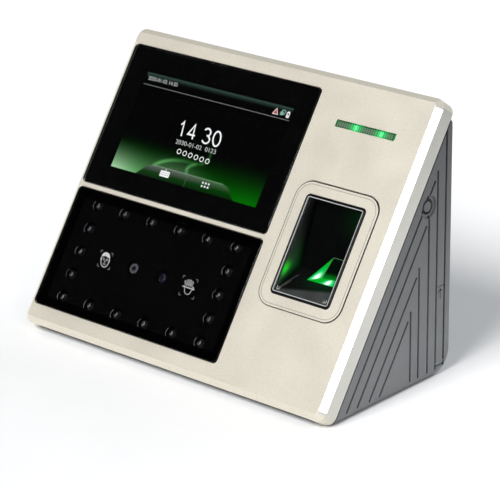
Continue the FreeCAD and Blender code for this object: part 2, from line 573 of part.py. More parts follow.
# ---------------------------------------------------------------- controls in the right-hand side
def make_power_button():
    cap = new_body("power_button", LEVEL)
    inner = "(housing_half - side_wall)"
    rod(cap, ADD, f"{inner} - 0.2", "button_y", "button_z", "button_wide", "side_wall - 0.5", ACROSS)
    rod(cap, ADD, f"{inner} - 1.2", "button_y", "button_z", "button_flange", "1", ACROSS)
    rod(cap, ADD, f"{inner} - 4.6", "button_y", "button_z", "3", "3.6", ACROSS)
    rod(cap, CUT, "housing_half - 0.7", "button_y", "button_z", "button_wide - 1.6", "1", ACROSS)
    switch = new_body("power_switch", LEVEL)
    block(switch, ADD, f"{inner} - 9.3", "button_y - 3", "button_z - 3", "3.5", "6", "6")
    rod(switch, CUT, f"{inner} - 7.9", "button_y", "button_z", "3.3", "3", ACROSS)
    plunger = new_body("power_switch_plunger", LEVEL)
    rod(plunger, ADD, f"{inner} - 6.9", "button_y", "button_z", "3", "2.3", ACROSS)
    board = new_body("power_switch_board", LEVEL)
    block(board, ADD, f"{inner} - 9.3 - board_thick", "button_y - 9", "button_z - 8", "board_thick", "18",
          "16")


def make_usb_port():
    """Flap on a hinge pin, and the socket and board behind it."""
    front, rear = f"({BACK_Y} - upright_1 + groove_wide / 2)", f"({BACK_Y} - upright_0 - groove_wide / 2)"
    middle = f"({BACK_Y} - (upright_1 + upright_0) / 2)"
    cover = new_body("usb_port_cover", LEVEL)
    block(cover, ADD, "housing_half - cover_thick", front, "hinge_z", "cover_thick", f"{rear} - {front}",
          "cover_top - hinge_z")
    block(cover, ADD, "hinge_x", front, "hinge_z - barrel_radius", "barrel_radius", f"{rear} - {front}",
          "barrel_radius")
    rod(cover, ADD, "hinge_x", front, "hinge_z", "2 * barrel_radius", f"{rear} - {front}", ALONG)
    rod(cover, CUT, "hinge_x", f"{front} - 1", "hinge_z", "pin_wide + 0.08", f"{rear} - {front} + 2", ALONG)
    # Engraved arrow that points at the finger edge
    block(cover, CUT, "housing_half - 0.4", f"{middle} - 0.3", "cover_top - 6.4", "1", "0.6", "4.6")
    for turn in ("45", "-45"):
        start_y = f"{middle} - 1.5" if turn == "45" else f"{middle} + 1.1"
        start_z = "cover_top - 3.3" if turn == "45" else "cover_top - 2.9"
        block(cover, CUT, "housing_half - 0.4", start_y, start_z, "1", "2.3" if turn == "45" else "0.6",
              "0.6" if turn == "45" else "2.3", (ACROSS, "45"))
    pin = new_body("usb_cover_pin", LEVEL)
    rod(pin, ADD, "hinge_x", f"{front} - 2.2", "hinge_z", "pin_wide", f"{rear} - {front} + 4.4", ALONG)
    socket = new_body("usb_socket", LEVEL)
    inner = "(housing_half - side_wall)"
    block(socket, ADD, f"{inner} - 14.6", f"{middle} - 2.85", "usb_z - 6.55", "14", "5.7", "13.1")
    block(socket, CUT, f"{inner} - 9.6", f"{middle} - 2.55", "usb_z - 6.25", "10", "5.1", "12.5")
    block(socket, ADD, f"{inner} - 10.6", f"{middle} - 2.25", "usb_z - 5.55", "9", "1.9", "11.1")
    board = new_body("usb_board", LEVEL)
    block(board, ADD, f"{inner} - 17", f"{middle} - 2.85 - board_thick", "usb_z - 13", "16", "board_thick",
          "26")


# ---------------------------------------------------------------- main board
def make_main_board():
    rear = "(main_y + board_thick)"
    board = new_body("main_board", LEVEL)
    block(board, ADD, "-main_half", "main_y", "main_low", "2 * main_half", "board_thick",
          "main_high - main_low")
    for x in ("post_x", "-post_x"):
        for z in ("main_low + 7", "main_high - 5"):
            rod(board, CUT, x, "main_y - 1", z, "3.2", "board_thick + 2", ALONG)
    screws = new_body("board_screws", LEVEL)
    for x in ("post_x", "-post_x"):
        for z in ("main_low + 7", "main_high - 5"):
            rod(screws, ADD, x, "main_y - 1.8", z, "5.2", "1.8", ALONG)
            rod(screws, ADD, x, "main_y - 0.2", z, "2.4", "7.4", ALONG)
    shield = new_body("processor_shield", LEVEL)
    block(shield, ADD, "-22", "main_y - 3", "main_low + 24", "44", "3", "36")
    cell = new_body("clock_cell", LEVEL)
    rod(cell, ADD, "-56", "main_y - 4.2", "main_low + 40", "20", "3.2", ALONG)
    holder = new_body("clock_cell_holder", LEVEL)
    block(holder, ADD, "-67", "main_y - 1", "main_low + 29", "22", "1", "22")
    network = new_body("network_socket", LEVEL)
    block(network, ADD, "-48", rear, "main_low + 13", "16", "12.9", "20")
    block(network, CUT, "-46", f"{rear} + 3.4", "main_low + 12", "12", "7", "16")
    power = new_body("power_inlet", LEVEL)
    block(power, ADD, "-24", rear, "main_low + 18", "9.4", "11", "14")
    rod(power, CUT, "-19.3", f"{rear} + 5.6", "main_low + 17", "5.6", "11")
    rod(power, ADD, "-19.3", f"{rear} + 5.6", "main_low + 19", "2.1", "12")
    blocks = new_body("terminal_blocks", LEVEL)
    for strip in range(3):
        start = -6 + 15 * strip
        block(blocks, ADD, f"{start}", rear, "main_low + 20", "14", "9.5", "9")
        for way in range(4):
            rod(blocks, CUT, f"{start + 1.9 + 3.4 * way}", f"{rear} + 7.5", "main_low + 24.5", "2.6", "4",
                ALONG)
            block(blocks, CUT, f"{start + 0.8 + 3.4 * way}", f"{rear} + 3.5", "main_low + 19", "2.2", "2.4",
                  "5")


def make_small_switches():
    """Tamper switch that feels the wall, and the reset button in the cable bay."""
    rear = "(main_y + board_thick)"
    tamper = new_body("tamper_switch", LEVEL)
    block(tamper, ADD, "tamper_x - 4", rear, "tamper_z - 4", "8", "5", "8")
    rod(tamper, CUT, "tamper_x", f"{rear} + 1", "tamper_z", "3.3", "5", ALONG)
    plunger = new_body("tamper_plunger", LEVEL)
    rod(plunger, ADD, "tamper_x", f"{rear} + 3.2", "tamper_z", "3", "9.6", ALONG)
    rod(plunger, ADD, "tamper_x", f"{BACK_Y} - back_wall - 1.6", "tamper_z", "7.6", "1.4", ALONG)
    rod(plunger, ADD, "tamper_x", f"{BACK_Y} - back_wall - 0.4", "tamper_z", "4.8", "back_wall + 0.2",
        ALONG)
    reset = new_body("reset_switch", LEVEL)
    block(reset, ADD, "reset_x - 3", rear, "reset_z - 3", "6", "3.6", "6")
    rod(reset, CUT, "reset_x", f"{rear} + 2", "reset_z", "3.6", "3", ALONG)
    button = new_body("reset_button", LEVEL)
    rod(button, ADD, "reset_x", f"{rear} + 2.7", "reset_z", "3.3", "7", ALONG)


def make_speaker_and_battery():
    floor = "(foot_proud + floor_thick)"
    speaker = new_body("speaker", LEVEL)
    rod(speaker, ADD, "-45", "5", f"{floor} + 0.6", "36", "4")
    rod(speaker, ADD, "-45", "5", f"{floor} + 4.6", "20", "4.5")
    ring = new_body("speaker_gasket", LEVEL)
    rod(ring, ADD, "-45", "5", floor, "35", "0.6")
    rod(ring, CUT, "-45", "5", f"{floor} - 1", "31.6", "3")
    battery = new_body("backup_battery", LEVEL)
    soft_slab(battery, ADD, "45", "5", floor, "60", "36", "10", "2")


# ---------------------------------------------------------------- wall plate, feet and screws
def make_wall_plate():
    """Steel plate in the back's recess, with a tab that its lock screw holds."""
    plate = new_body("wall_plate", LEVEL)
    low = f"{BACK_Y} - recess_deep"
    block(plate, ADD, "-plate_width / 2", low, "plate_low", "plate_width", "plate_thick",
          "plate_high - plate_low")
    block(plate, CUT, "-bay_half", f"{low} - 1", "plate_low - 1", "2 * bay_half", "plate_thick + 2",
          "bay_high - plate_low + 1")
    block(plate, ADD, "-bay_half - 1", low, "bay_low + 7.5", "2 * bay_half + 2", "plate_thick", "3")
    block(plate, ADD, "-8", low, "bay_low + 0.4", "16", "plate_thick", "10")
    block(plate, ADD, "-8", f"{BACK_Y} - 14", "bay_low + 0.4", "16", f"14 - recess_deep + plate_thick",
          "plate_thick")
    rod(plate, CUT, "0", "39", "bay_low - 1", "2.5", "4")
    for x in ("hole_span_x / 2", "-hole_span_x / 2"):
        for z in ("hole_mid_z + hole_span_z / 2", "hole_mid_z - hole_span_z / 2"):
            rod(plate, CUT, x, f"{low} - 1", z, "hole_wide", "plate_thick + 2", ALONG)
    rod(plate, CUT, "tamper_x", f"{low} - 1", "tamper_z", "8", "plate_thick + 2", ALONG)
    screw = new_body("wall_plate_screw", LEVEL)
    rod(screw, ADD, "0", "39", "foot_proud + 0.2", "5.6", "1.4")
    rod(screw, ADD, "0", "39", "foot_proud + 1", "2.4", "10.7")


def make_feet_and_screws():
    feet = new_body("rubber_feet", LEVEL)
    for x in ("foot_x", "-foot_x"):
        for y in ("foot_front", "foot_rear"):
            rod(feet, ADD, x, y, "0", "foot_wide", "foot_proud + foot_sunk")
    upper = new_body("upper_case_screws", FACE)
    lower = new_body("lower_case_screws", LEVEL)
    for side in (1, -1):
        rod(upper, ADD, f"{side} * boss_x", "boss_y", "-16.6", "5.4", "2")
        rod(upper, ADD, f"{side} * boss_x", "boss_y", "-15", "pilot_wide - 0.1", "10")
        rod(lower, ADD, f"{side} * low_screw_x", "low_screw_y", "foot_proud + 0.2", "5.4", "1.2")
        rod(lower, ADD, f"{side} * low_screw_x", "low_screw_y", "foot_proud + 1", "pilot_wide - 0.1", "7")


# ---------------------------------------------------------------- ribbon cables
def rounded_path(points, radius):
    """Straight runs joined by tangent arcs."""
    edges, start = [], points[0]
    for before, corner, after in zip(points, points[1:], points[2:]):
        into, out = (corner - before).normalize(), (after - corner).normalize()
        turn = math.acos(max(-1.0, min(1.0, into.dot(out))))
        reach = radius * math.tan(turn / 2)
        enter, leave = corner - into * reach, corner + out * reach
        bisector = (out - into).normalize()
        middle = corner + bisector * (radius / math.cos(turn / 2) - radius)
        edges.append(Part.LineSegment(start, enter).toShape())
        edges.append(Part.Arc(enter, middle, leave).toShape())
        start = leave
    edges.append(Part.LineSegment(start, points[-1]).toShape())
    return Part.Wire(edges)


def make_ribbon(label, x, width, points, radius):
    """A flat flexible cable whose middle line lies in a plane across X."""
    thickness = 0.3
    path = rounded_path([FreeCAD.Vector(x - width / 2, y, z) for y, z in points], radius)
    strip = path.extrude(FreeCAD.Vector(width, 0, 0))
    ribbon = doc.addObject("Part::Feature", label)
    ribbon.Label = label
    ribbon.Shape = strip.makeOffsetShape(thickness, 0.001, fill=True)
    nodes.append(ribbon)


def make_ribbons():
    """Flexible cables from the screen, the cameras and the reader to the main board."""
    tilt = math.radians(sheet.get("tilt"))
    slope_y, slope_z = math.sin(tilt), math.cos(tilt)
    start_y = -((sheet.get("bezel_bevel") + sheet.get("bezel_length")) * slope_y
                + sheet.get("bezel_depth") * slope_z) / 2
    start_z = sheet.get("foot_proud") + sheet.get("bezel_heel") * slope_y
    board_y = sheet.get("main_y")

    def place(up, deep):
        return start_y + up * slope_y + deep * slope_z, start_z + up * slope_z - deep * slope_y

    for label, x, width, up, deep, landing in (
            ("screen_ribbon", sheet.get("glass_x"), 24.0, 92.0, 5.05, 88.0),
            ("camera_ribbon", sheet.get("glass_x"), 12.0, 36.0, 22.65, 30.0),
            ("reader_ribbon", sheet.get("reader_x") - 4, 10.0, 70.0, 25.65, 60.0)):
        leave, arrive = place(up, deep), (board_y - 0.2, landing)
        points = [leave, place(up, deep + 5), (board_y - 6, landing), arrive]
        make_ribbon(label, x, width, points, 1.6)


# ---------------------------------------------------------------- build, check and write
make_bezel()
make_glasses()
make_display()
make_face_reader()
make_status_light()
make_fingerprint_reader()
make_card_reader()
make_housing()
make_power_button()
make_usb_port()
make_main_board()
make_small_switches()
make_speaker_and_battery()
make_wall_plate()
make_feet_and_screws()
make_ribbons()
doc.recompute()

for item in doc.Objects:
    if "Invalid" in item.State or "Error" in item.State:
        raise RuntimeError(f"{item.Label} is {item.State}")
for node in nodes:
    if node.Shape.isNull() or not node.Shape.isValid() or not node.Shape.Solids:
        raise RuntimeError(f"{node.Label} has no valid solid")
os.makedirs("parts", exist_ok=True)
for node in nodes:
    node.Shape.exportStep(f"parts/{node.Label}.step")
    box = node.Shape.BoundBox
    print(f"{node.Label}: {len(node.Shape.Solids)} solids, {node.Shape.Volume:.0f} mm3, "
          f"x {box.XMin:.1f} {box.XMax:.1f} y {box.YMin:.1f} {box.YMax:.1f} z {box.ZMin:.1f} {box.ZMax:.1f}")
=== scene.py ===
"""Looks for the face and fingerprint terminal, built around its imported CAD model.

Positions are in metres. Pieces of the leaning face are drawn flat in millimetres, with x across the
face, y up its slope from the outer bottom edge and z out of it, and FACE puts them in place.
"""
import json
import math

import bmesh
import bpy
from mathutils import Matrix, Vector


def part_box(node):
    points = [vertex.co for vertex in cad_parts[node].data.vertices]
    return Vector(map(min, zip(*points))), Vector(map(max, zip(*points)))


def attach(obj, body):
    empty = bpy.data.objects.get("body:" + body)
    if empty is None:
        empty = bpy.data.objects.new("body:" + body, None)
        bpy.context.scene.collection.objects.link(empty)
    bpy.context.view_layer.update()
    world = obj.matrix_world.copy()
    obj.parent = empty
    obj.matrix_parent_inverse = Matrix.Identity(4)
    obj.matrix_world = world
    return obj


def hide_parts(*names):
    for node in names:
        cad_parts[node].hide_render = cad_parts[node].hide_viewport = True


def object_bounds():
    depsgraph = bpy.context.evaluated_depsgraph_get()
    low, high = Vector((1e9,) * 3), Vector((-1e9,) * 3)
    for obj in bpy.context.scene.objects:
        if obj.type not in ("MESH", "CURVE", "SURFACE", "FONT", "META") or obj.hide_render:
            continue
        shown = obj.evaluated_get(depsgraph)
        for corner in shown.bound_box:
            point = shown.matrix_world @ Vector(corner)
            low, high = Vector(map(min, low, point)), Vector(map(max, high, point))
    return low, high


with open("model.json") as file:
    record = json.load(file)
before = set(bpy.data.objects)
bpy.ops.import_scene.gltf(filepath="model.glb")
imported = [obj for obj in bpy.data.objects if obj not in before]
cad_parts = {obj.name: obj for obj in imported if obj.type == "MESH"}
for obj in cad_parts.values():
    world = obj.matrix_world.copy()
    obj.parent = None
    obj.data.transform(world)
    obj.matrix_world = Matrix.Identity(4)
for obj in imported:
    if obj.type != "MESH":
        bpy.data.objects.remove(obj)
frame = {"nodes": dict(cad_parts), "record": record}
cad_low, cad_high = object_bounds()

MM = 0.001
TILT = math.radians(34)
BEVEL, LENGTH = 2.85, 157.5
bezel_low, bezel_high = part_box("front_bezel")
FACE_Y = bezel_low.y - BEVEL * MM * math.cos(TILT)
FACE_Z = bezel_high.z - LENGTH * MM * math.cos(TILT) + BEVEL * MM * math.sin(TILT)
FACE = (Matrix.Translation((0, FACE_Y, FACE_Z)) @ Matrix.Rotation(math.pi / 2 - TILT, 4, "X")
        @ Matrix.Scale(MM, 4))
LEVEL = Matrix.Scale(MM, 4)

# Centres and sizes on the face, in millimetres
GLASS_X, GLASS_WIDTH = -31.5, 120.2
TOUCH_Y, TOUCH_HEIGHT = 111.8, 73.6
WINDOW_Y, WINDOW_HEIGHT = 41.1, 61.8
GLASS_THICK = 1.8
WINDOW_OPENING = (112.2, 53.8)
PICTURE_X, PICTURE_Y, PICTURE_WIDTH, PICTURE_HEIGHT = -30.9, 111.2, 94.6, 50.4
LAMP_PITCH = (18.18, 12.0)
LENS_X = 9.4
READER_X, READER_Y = 61.0, 74.4
LIGHT_X, LIGHT_Y = 60.8, 134.5


# ---------------------------------------------------------------- materials
WORN_SHADE = 0.6


def new_material(name):
    made = bpy.data.materials.new(name)
    made.use_nodes = True
    return made, made.node_tree.nodes, made.node_tree.links, made.node_tree.nodes["Principled BSDF"]


def scaled(colour, factor):
    return tuple(min(1.0, part * factor) for part in colour[:3]) + (1.0,)


def noise(nodes, links, scale, detail=3.0, stretch=None):
    """A noise texture over the part's own coordinates."""
    place = nodes.new("ShaderNodeTexCoord")
    source = place.outputs["Object"]
    if stretch:
        mapping = nodes.new("ShaderNodeMapping")
        mapping.inputs["Scale"].default_value = stretch
        links.new(source, mapping.inputs["Vector"])
        source = mapping.outputs["Vector"]
    texture = nodes.new("ShaderNodeTexNoise")
    texture.inputs["Scale"].default_value = scale
    texture.inputs["Detail"].default_value = detail
    links.new(source, texture.inputs["Vector"])
    return texture.outputs["Fac"]


def spread(nodes, links, source, low, high):
    """Map the middle of a noise to a range of values."""
    ranged = nodes.new("ShaderNodeMapRange")
    ranged.inputs["From Min"].default_value = 0.3
    ranged.inputs["From Max"].default_value = 0.7
    ranged.inputs["To Min"].default_value = low
    ranged.inputs["To Max"].default_value = high
    links.new(source, ranged.inputs["Value"])
    return ranged.outputs["Result"]


def blended(nodes, links, source, first, second):
    """A mix of two colours, each of them a plain colour or another node's output."""
    mix = nodes.new("ShaderNodeMix")
    mix.data_type = "RGBA"
    links.new(source, mix.inputs["Factor"])
    for socket, colour in (("A", first), ("B", second)):
        if isinstance(colour, tuple):
            mix.inputs[socket].default_value = colour
        else:
            links.new(colour, mix.inputs[socket])
    return mix.outputs["Result"]


def surface(name, colour, vary=0.08, grain=1500.0, rough=(0.4, 0.5), bump=0.1, depth=0.00005,
            stretch=None, wear=None, fade=None, **sockets):
    """A finish whose colour, gloss and relief all vary finely over the surface.

    wear adds darker clouds; the height shade, given as (low, high, share), is painted shade that dims the
    colour to a share between two heights, darkest at the upper one.
    """
    made, nodes, links, shader = new_material(name)
    fine = noise(nodes, links, grain, 4.0, stretch)
    broad = noise(nodes, links, grain / 40, 2.0, stretch)
    ratio = spread(nodes, links, fine, 0.0, 1.0)
    tone = blended(nodes, links, ratio, scaled(colour, 1 - vary), scaled(colour, 1 + vary))
    # Painted shade: the colour darkens with height, standing for light that falls off towards the top.
    if fade:
        low, high, share = fade
        above = nodes.new("ShaderNodeSeparateXYZ")
        links.new(nodes.new("ShaderNodeTexCoord").outputs["Object"], above.inputs["Vector"])
        height = nodes.new("ShaderNodeMapRange")
        height.inputs["From Min"].default_value = low
        height.inputs["From Max"].default_value = high
        links.new(above.outputs["Z"], height.inputs["Value"])
        shaded_tone = blended(nodes, links, ratio, scaled(colour, share * (1 - vary)),
                       scaled(colour, share * (1 + vary)))
        tone = blended(nodes, links, height.outputs["Result"], tone, shaded_tone)
    if wear:
        cloud = spread(nodes, links, broad, 0.0, wear)
        tone = blended(nodes, links, cloud, tone, scaled(colour, WORN_SHADE))
    links.new(tone, shader.inputs["Base Color"])
    links.new(spread(nodes, links, broad, *rough), shader.inputs["Roughness"])
    relief = nodes.new("ShaderNodeBump")
    relief.inputs["Strength"].default_value = bump
    relief.inputs["Distance"].default_value = depth
    links.new(fine, relief.inputs["Height"])
    links.new(relief.outputs["Normal"], shader.inputs["Normal"])
    for socket, value in sockets.items():
        shader.inputs[socket.replace("_", " ")].default_value = value
    return made


def clear(name, colour, rough=0.02, index=1.49):
    """A transparent finish with faint smears in its gloss."""
    made, nodes, links, shader = new_material(name)
    shader.inputs["Base Color"].default_value = colour
    shader.inputs["Transmission Weight"].default_value = 1.0
    shader.inputs["IOR"].default_value = index
    smear = noise(nodes, links, 90.0, 3.0)
    links.new(spread(nodes, links, smear, rough * 0.5, rough * 1.5), shader.inputs["Roughness"])
    return made


def glowing(name, strength, layer="glow", gloss=0.0):
    """A lit face whose colour is stored on its points, behind a glossy skin."""
    made, nodes, links, shader = new_material(name)
    stored = nodes.new("ShaderNodeVertexColor")
    stored.layer_name = layer
    shader.inputs["Base Color"].default_value = (0.0006, 0.0006, 0.0006, 1.0)
    shader.inputs["Specular IOR Level"].default_value = gloss
    smear = noise(nodes, links, 400.0, 2.0)
    links.new(spread(nodes, links, smear, 0.35, 0.5), shader.inputs["Roughness"])
    links.new(stored.outputs["Color"], shader.inputs["Emission Color"])
    shader.inputs["Emission Strength"].default_value = strength
    return made


FINISH = {}


def define(name, make, *look, **sockets):
    FINISH[name] = make(name, *look, **sockets)


define("bezel_paint", surface, (0.70, 0.655, 0.555), 0.07, 1700, (0.36, 0.44), 0.22, 0.00006, Metallic=0.45,
       Coat_Weight=0.15, Coat_Roughness=0.25)
# The housing's finish is darker towards the top as painted shade.
define("housing_plastic", surface, (0.190, 0.195, 0.200), 0.06, 2600, (0.42, 0.52), 0.25, 0.00005,
       fade=(0.018, 0.128, 0.30))
define("dark_glass", clear, (0.26, 0.26, 0.265, 1.0))
define("touch_glass", clear, (0.93, 0.94, 0.95, 1.0))
define("display", surface, (0.008, 0.009, 0.010), 0.2, 900, (0.15, 0.25), 0.02)
define("glue", surface, (0.012, 0.012, 0.012), 0.3, 1200, (0.7, 0.9), 0.3)
define("black_plastic", surface, (0.014, 0.014, 0.015), 0.2, 2200, (0.38, 0.5), 0.2)
define("gloss_black", surface, (0.004, 0.004, 0.0044), 0.2, 1400, (0.28, 0.36), 0.03, Specular_IOR_Level=0.12)
define("clear_plastic", clear, (0.88, 0.95, 0.90, 1.0), 0.05)
define("lens_glass", surface, (0.02, 0.022, 0.045), 0.3, 300, (0.03, 0.06), 0.0, Coat_Weight=1.0,
       Coat_Roughness=0.02, Specular_IOR_Level=0.9)
define("prism_glass", clear, (0.96, 0.98, 0.97, 1.0), 0.015, 1.45)
define("lamp_epoxy", surface, (0.030, 0.027, 0.034), 0.2, 500, (0.12, 0.2), 0.0)
define("board_green", surface, (0.012, 0.085, 0.035), 0.25, 700, (0.25, 0.4), 0.15, Coat_Weight=0.4,
       Coat_Roughness=0.2)
define("chip_white", surface, (0.72, 0.72, 0.60), 0.06, 900, (0.3, 0.4), 0.05)
define("shield_steel", surface, (0.55, 0.555, 0.56), 0.08, 900, (0.28, 0.42), 0.15, 0.00003, (1, 1, 14),
       Metallic=1.0)
define("plate_steel", surface, (0.022, 0.022, 0.023), 0.15, 1500, (0.45, 0.6), 0.5, 0.00010, wear=0.3)
define("screw_steel", surface, (0.45, 0.45, 0.46), 0.1, 1600, (0.25, 0.4), 0.1, Metallic=1.0)
define("black_screw", surface, (0.03, 0.03, 0.032), 0.2, 1600, (0.3, 0.42), 0.15, Metallic=0.8)
define("rubber", surface, (0.018, 0.018, 0.018), 0.25, 1800, (0.65, 0.85), 0.4, 0.00008)
define("battery_wrap", surface, (0.03, 0.09, 0.26), 0.12, 400, (0.22, 0.35), 0.2, 0.0001)
define("cell_metal", surface, (0.60, 0.60, 0.58), 0.06, 1200, (0.22, 0.32), 0.08, 0.00003, (1, 1, 10),
       Metallic=1.0)
define("terminal_green", surface, (0.03, 0.22, 0.08), 0.1, 1600, (0.35, 0.5), 0.15)
define("ribbon", surface, (0.42, 0.19, 0.04), 0.15, 600, (0.2, 0.3), 0.1, 0.00004, (20, 1, 1))
define("cone_paper", surface, (0.02, 0.02, 0.021), 0.2, 1100, (0.55, 0.75), 0.4)
define("print_black", surface, (0.0009, 0.0009, 0.0009), 0.3, 800, (0.5, 0.6), 0.05, Specular_IOR_Level=0.0)
define("print_grey", surface, (0.42, 0.42, 0.42), 0.08, 2500, (0.4, 0.55), 0.05)
define("print_faint", surface, (0.13, 0.13, 0.13), 0.08, 2500, (0.4, 0.55), 0.05)
# A shaded copy of the bezel paint for the side walls, duller and darker towards the top: painted shade.
define("bezel_side", surface, (0.70, 0.685, 0.625), 0.06, 1700, (0.40, 0.50), 0.22, 0.00006, Metallic=0.3,
       fade=(0.070, 0.135, 0.62))
# A brighter copy of the bezel paint for the side bevels: painted highlight.
define("bezel_edge", surface, (0.95, 0.95, 0.94), 0.03, 1700, (0.20, 0.28), 0.10, 0.00003, Metallic=0.9)
# Bright grey for the lamps' painted highlights.
define("print_bright", surface, (0.62, 0.62, 0.62), 0.06, 2500, (0.4, 0.55), 0.05)
define("lens_ring", surface, (0.20, 0.20, 0.21), 0.3, 900, (0.3, 0.45), 0.1)
define("track_green", surface, (0.020, 0.150, 0.060), 0.2, 900, (0.25, 0.4), 0.1)
define("line_grey", surface, (0.22, 0.215, 0.20), 0.1, 2000, (0.6, 0.8), 0.1)
# Near-black for painted shade behind the lower glass and in the terminal mouths.
define("shield_dark", surface, (0.003, 0.003, 0.003), 0.3, 1500, (0.7, 0.9), 0.2, Specular_IOR_Level=0.05)
# Near-black painted shade for gaps, seams and grooves.
define("seam_dark", surface, (0.010, 0.010, 0.010), 0.3, 2000, (0.6, 0.8), 0.2)
define("gold", surface, (0.80, 0.55, 0.20), 0.08, 1500, (0.25, 0.35), 0.08, Metallic=1.0)
define("chip_black", surface, (0.016, 0.016, 0.017), 0.2, 1400, (0.45, 0.6), 0.2)
define("screen", glowing, 1.15)
# Painted light and shade inside the reader, as glow.
define("reader_glow", glowing, 1.0)
define("light_glow", glowing, 1.0)


# ---------------------------------------------------------------- mesh helpers
def add_piece(name, mesh, finish, body="root", place=None, angle=35.0):
    """Put a mesh in the scene with a finish; sharp edges stay sharp above an angle."""
    if place is not None:
        mesh.transform(place)
    if angle is not None:
        mesh.shade_smooth()
        mesh.set_sharp_from_angle(angle=math.radians(angle))
    piece = in_scene(bpy.data.objects.new(name, mesh))
    mesh.materials.clear()
    mesh.materials.append(FINISH[finish])
    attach(piece, body)
    return piece


def as_mesh(name, build):
    mesh = bpy.data.meshes.new(name)
    build.to_mesh(mesh)
    build.free()
    return mesh


def finish_mesh(name, build):
    """Turn a bmesh into a mesh with outward faces."""
    bmesh.ops.remove_doubles(build, verts=build.verts, dist=1e-5)
    bmesh.ops.recalc_face_normals(build, faces=build.faces)
    return as_mesh(name, build)


def add_built(name, build, finish, place=FACE, angle=35.0):
    """Turn a bmesh into a piece on the root body, drawn on the face unless a place is given."""
    return add_piece(name, finish_mesh(name, build), finish, place=place, angle=angle)


def in_scene(made):
    bpy.context.scene.collection.objects.link(made)
    return made


def box_mm(node):
    """Lowest and highest corners of a CAD node, in millimetres."""
    return [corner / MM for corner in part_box(node)]


def rounded(cx, cy, width, height, radius, steps=6):
    """Points round a rectangle with rounded corners, anticlockwise."""
    points = []
    for quarter, (sx, sy) in enumerate(((1, 1), (-1, 1), (-1, -1), (1, -1))):
        ox = cx + sx * (width / 2 - radius)
        oy = cy + sy * (height / 2 - radius)
        for step in range(steps + 1):
            angle = math.pi / 2 * (quarter + step / steps)
            points.append((ox + radius * math.cos(angle), oy + radius * math.sin(angle)))
    return points


def round_reader(width, height, radius, steps=6):
    return rounded(READER_X, READER_Y, width, height, radius, steps)


def circle(cx, cy, radius, steps=24):
    return [(cx + radius * math.cos(2 * math.pi * i / steps), cy + radius * math.sin(2 * math.pi * i / steps))
            for i in range(steps)]


def skin(build, loops, hoop=False):
    """Faces between neighbouring loops of points, and from the last to the first for a hoop."""
    for low, high in zip(loops, loops[1:] + (loops[:1] if hoop else [])):
        for a, b, c, d in zip(low, low[1:] + low[:1], high[1:] + high[:1], high):
            build.faces.new((a, b, c, d))


def cap(build, loops):
    """Faces over the first and the last loop."""
    build.faces.new(list(reversed(loops[0])))
    build.faces.new(loops[-1])


def new_loops(build, rings):
    return [[build.verts.new(point) for point in painted_highlight] for painted_highlight in rings]


def loft(build, rings):
    """A solid skinned between rings of equal length; each ring is a list of (x, y, z)."""
    loops = new_loops(build, rings)
    skin(build, loops)
    cap(build, loops)


def at_height(points, z):
    return [(x, y, z) for x, y in points]


def plate(build, outline, low, high, soft=0.0, inset_outline=None):
    """A flat solid from an outline, with its upper rim softened by an inset outline."""
    rings = [at_height(outline, low), at_height(outline, high - soft)]
    if soft:
        rings.append(at_height(inset_outline, high))
    loft(build, rings)


def band(build, outer, inner, low, high):
    """A flat ring between two outlines of equal length."""
    rings = [at_height(points, z)
             for points, z in ((outer, low), (outer, high), (inner, high), (inner, low))]
    skin(build, new_loops(build, rings), hoop=True)


def stroke(build, points, width, low, high, closed=False):
    """A flat line of a width along points, with square ends."""
    count = len(points)
    left, right = [], []
    for i, point in enumerate(points):
        before = Vector(points[(i - 1) % count] if closed or i else point)
        after = Vector(points[(i + 1) % count] if closed or i < count - 1 else point)
        here = Vector(point)
        first = (here - before).normalized() if (here - before).length else (after - here).normalized()
        second = (after - here).normalized() if (after - here).length else first
        along = (first + second).normalized() if (first + second).length > 1e-6 else first
        side = Vector((-along.y, along.x)) * (width / 2 / max(0.5, along.dot(first)))
        left.append(here + side)
        right.append(here - side)
    loops = []
    for a, b in zip(left, right):
        loops.append([build.verts.new((p.x, p.y, z)) for p, z in ((a, low), (b, low), (b, high), (a, high))])
    skin(build, loops, hoop=closed)
    if not closed:
        cap(build, loops)


def arc(cx, cy, radius, start, end, steps=12, squash=1.0):
    return [(cx + radius * math.cos(math.radians(start + (end - start) * i / steps)),
             cy + radius * squash * math.sin(math.radians(start + (end - start) * i / steps)))
            for i in range(steps + 1)]


def brick(build, cx, cy, cz, width, depth, height, soft=0.0):
    """A box with softened edges, centred on a point."""
    made = bmesh.ops.create_cube(build, size=1.0)["verts"]
    bmesh.ops.scale(build, vec=(width, depth, height), verts=made)
    bmesh.ops.translate(build, vec=(cx, cy, cz), verts=made)
    if soft:
        edges = list({edge for vert in made for edge in vert.link_edges})
        bmesh.ops.bevel(build, geom=edges, offset=soft, segments=2, profile=0.5, affect="EDGES")


def softened(node, name, width, finish, body="root"):
    """A copy of a CAD node with its sharp edges rounded, standing for the node and with its slot's finish."""
    source = frame["nodes"][node].data
    build = bmesh.new()
    build.from_mesh(source)
    bmesh.ops.remove_doubles(build, verts=build.verts, dist=2e-6)
    bmesh.ops.dissolve_limit(build, angle_limit=math.radians(0.6), verts=build.verts, edges=build.edges,
                             delimit={"NORMAL"})
    limit = math.radians(25)
    sharp = [edge for edge in build.edges
             if len(edge.link_faces) == 2 and edge.calc_face_angle(0.0) > limit]
    bmesh.ops.bevel(build, geom=sharp, offset=width * MM, segments=2, profile=0.5,
                    affect="EDGES", clamp_overlap=True)
    bmesh.ops.triangulate(build, faces=[face for face in build.faces if len(face.verts) > 4])
    mesh = as_mesh(name, build)
    mesh.shade_smooth()
    mesh.set_sharp_from_angle(angle=math.radians(40))
    piece = add_piece(name, level_shading(mesh), finish, body, angle=None)
    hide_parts(node)
    return piece


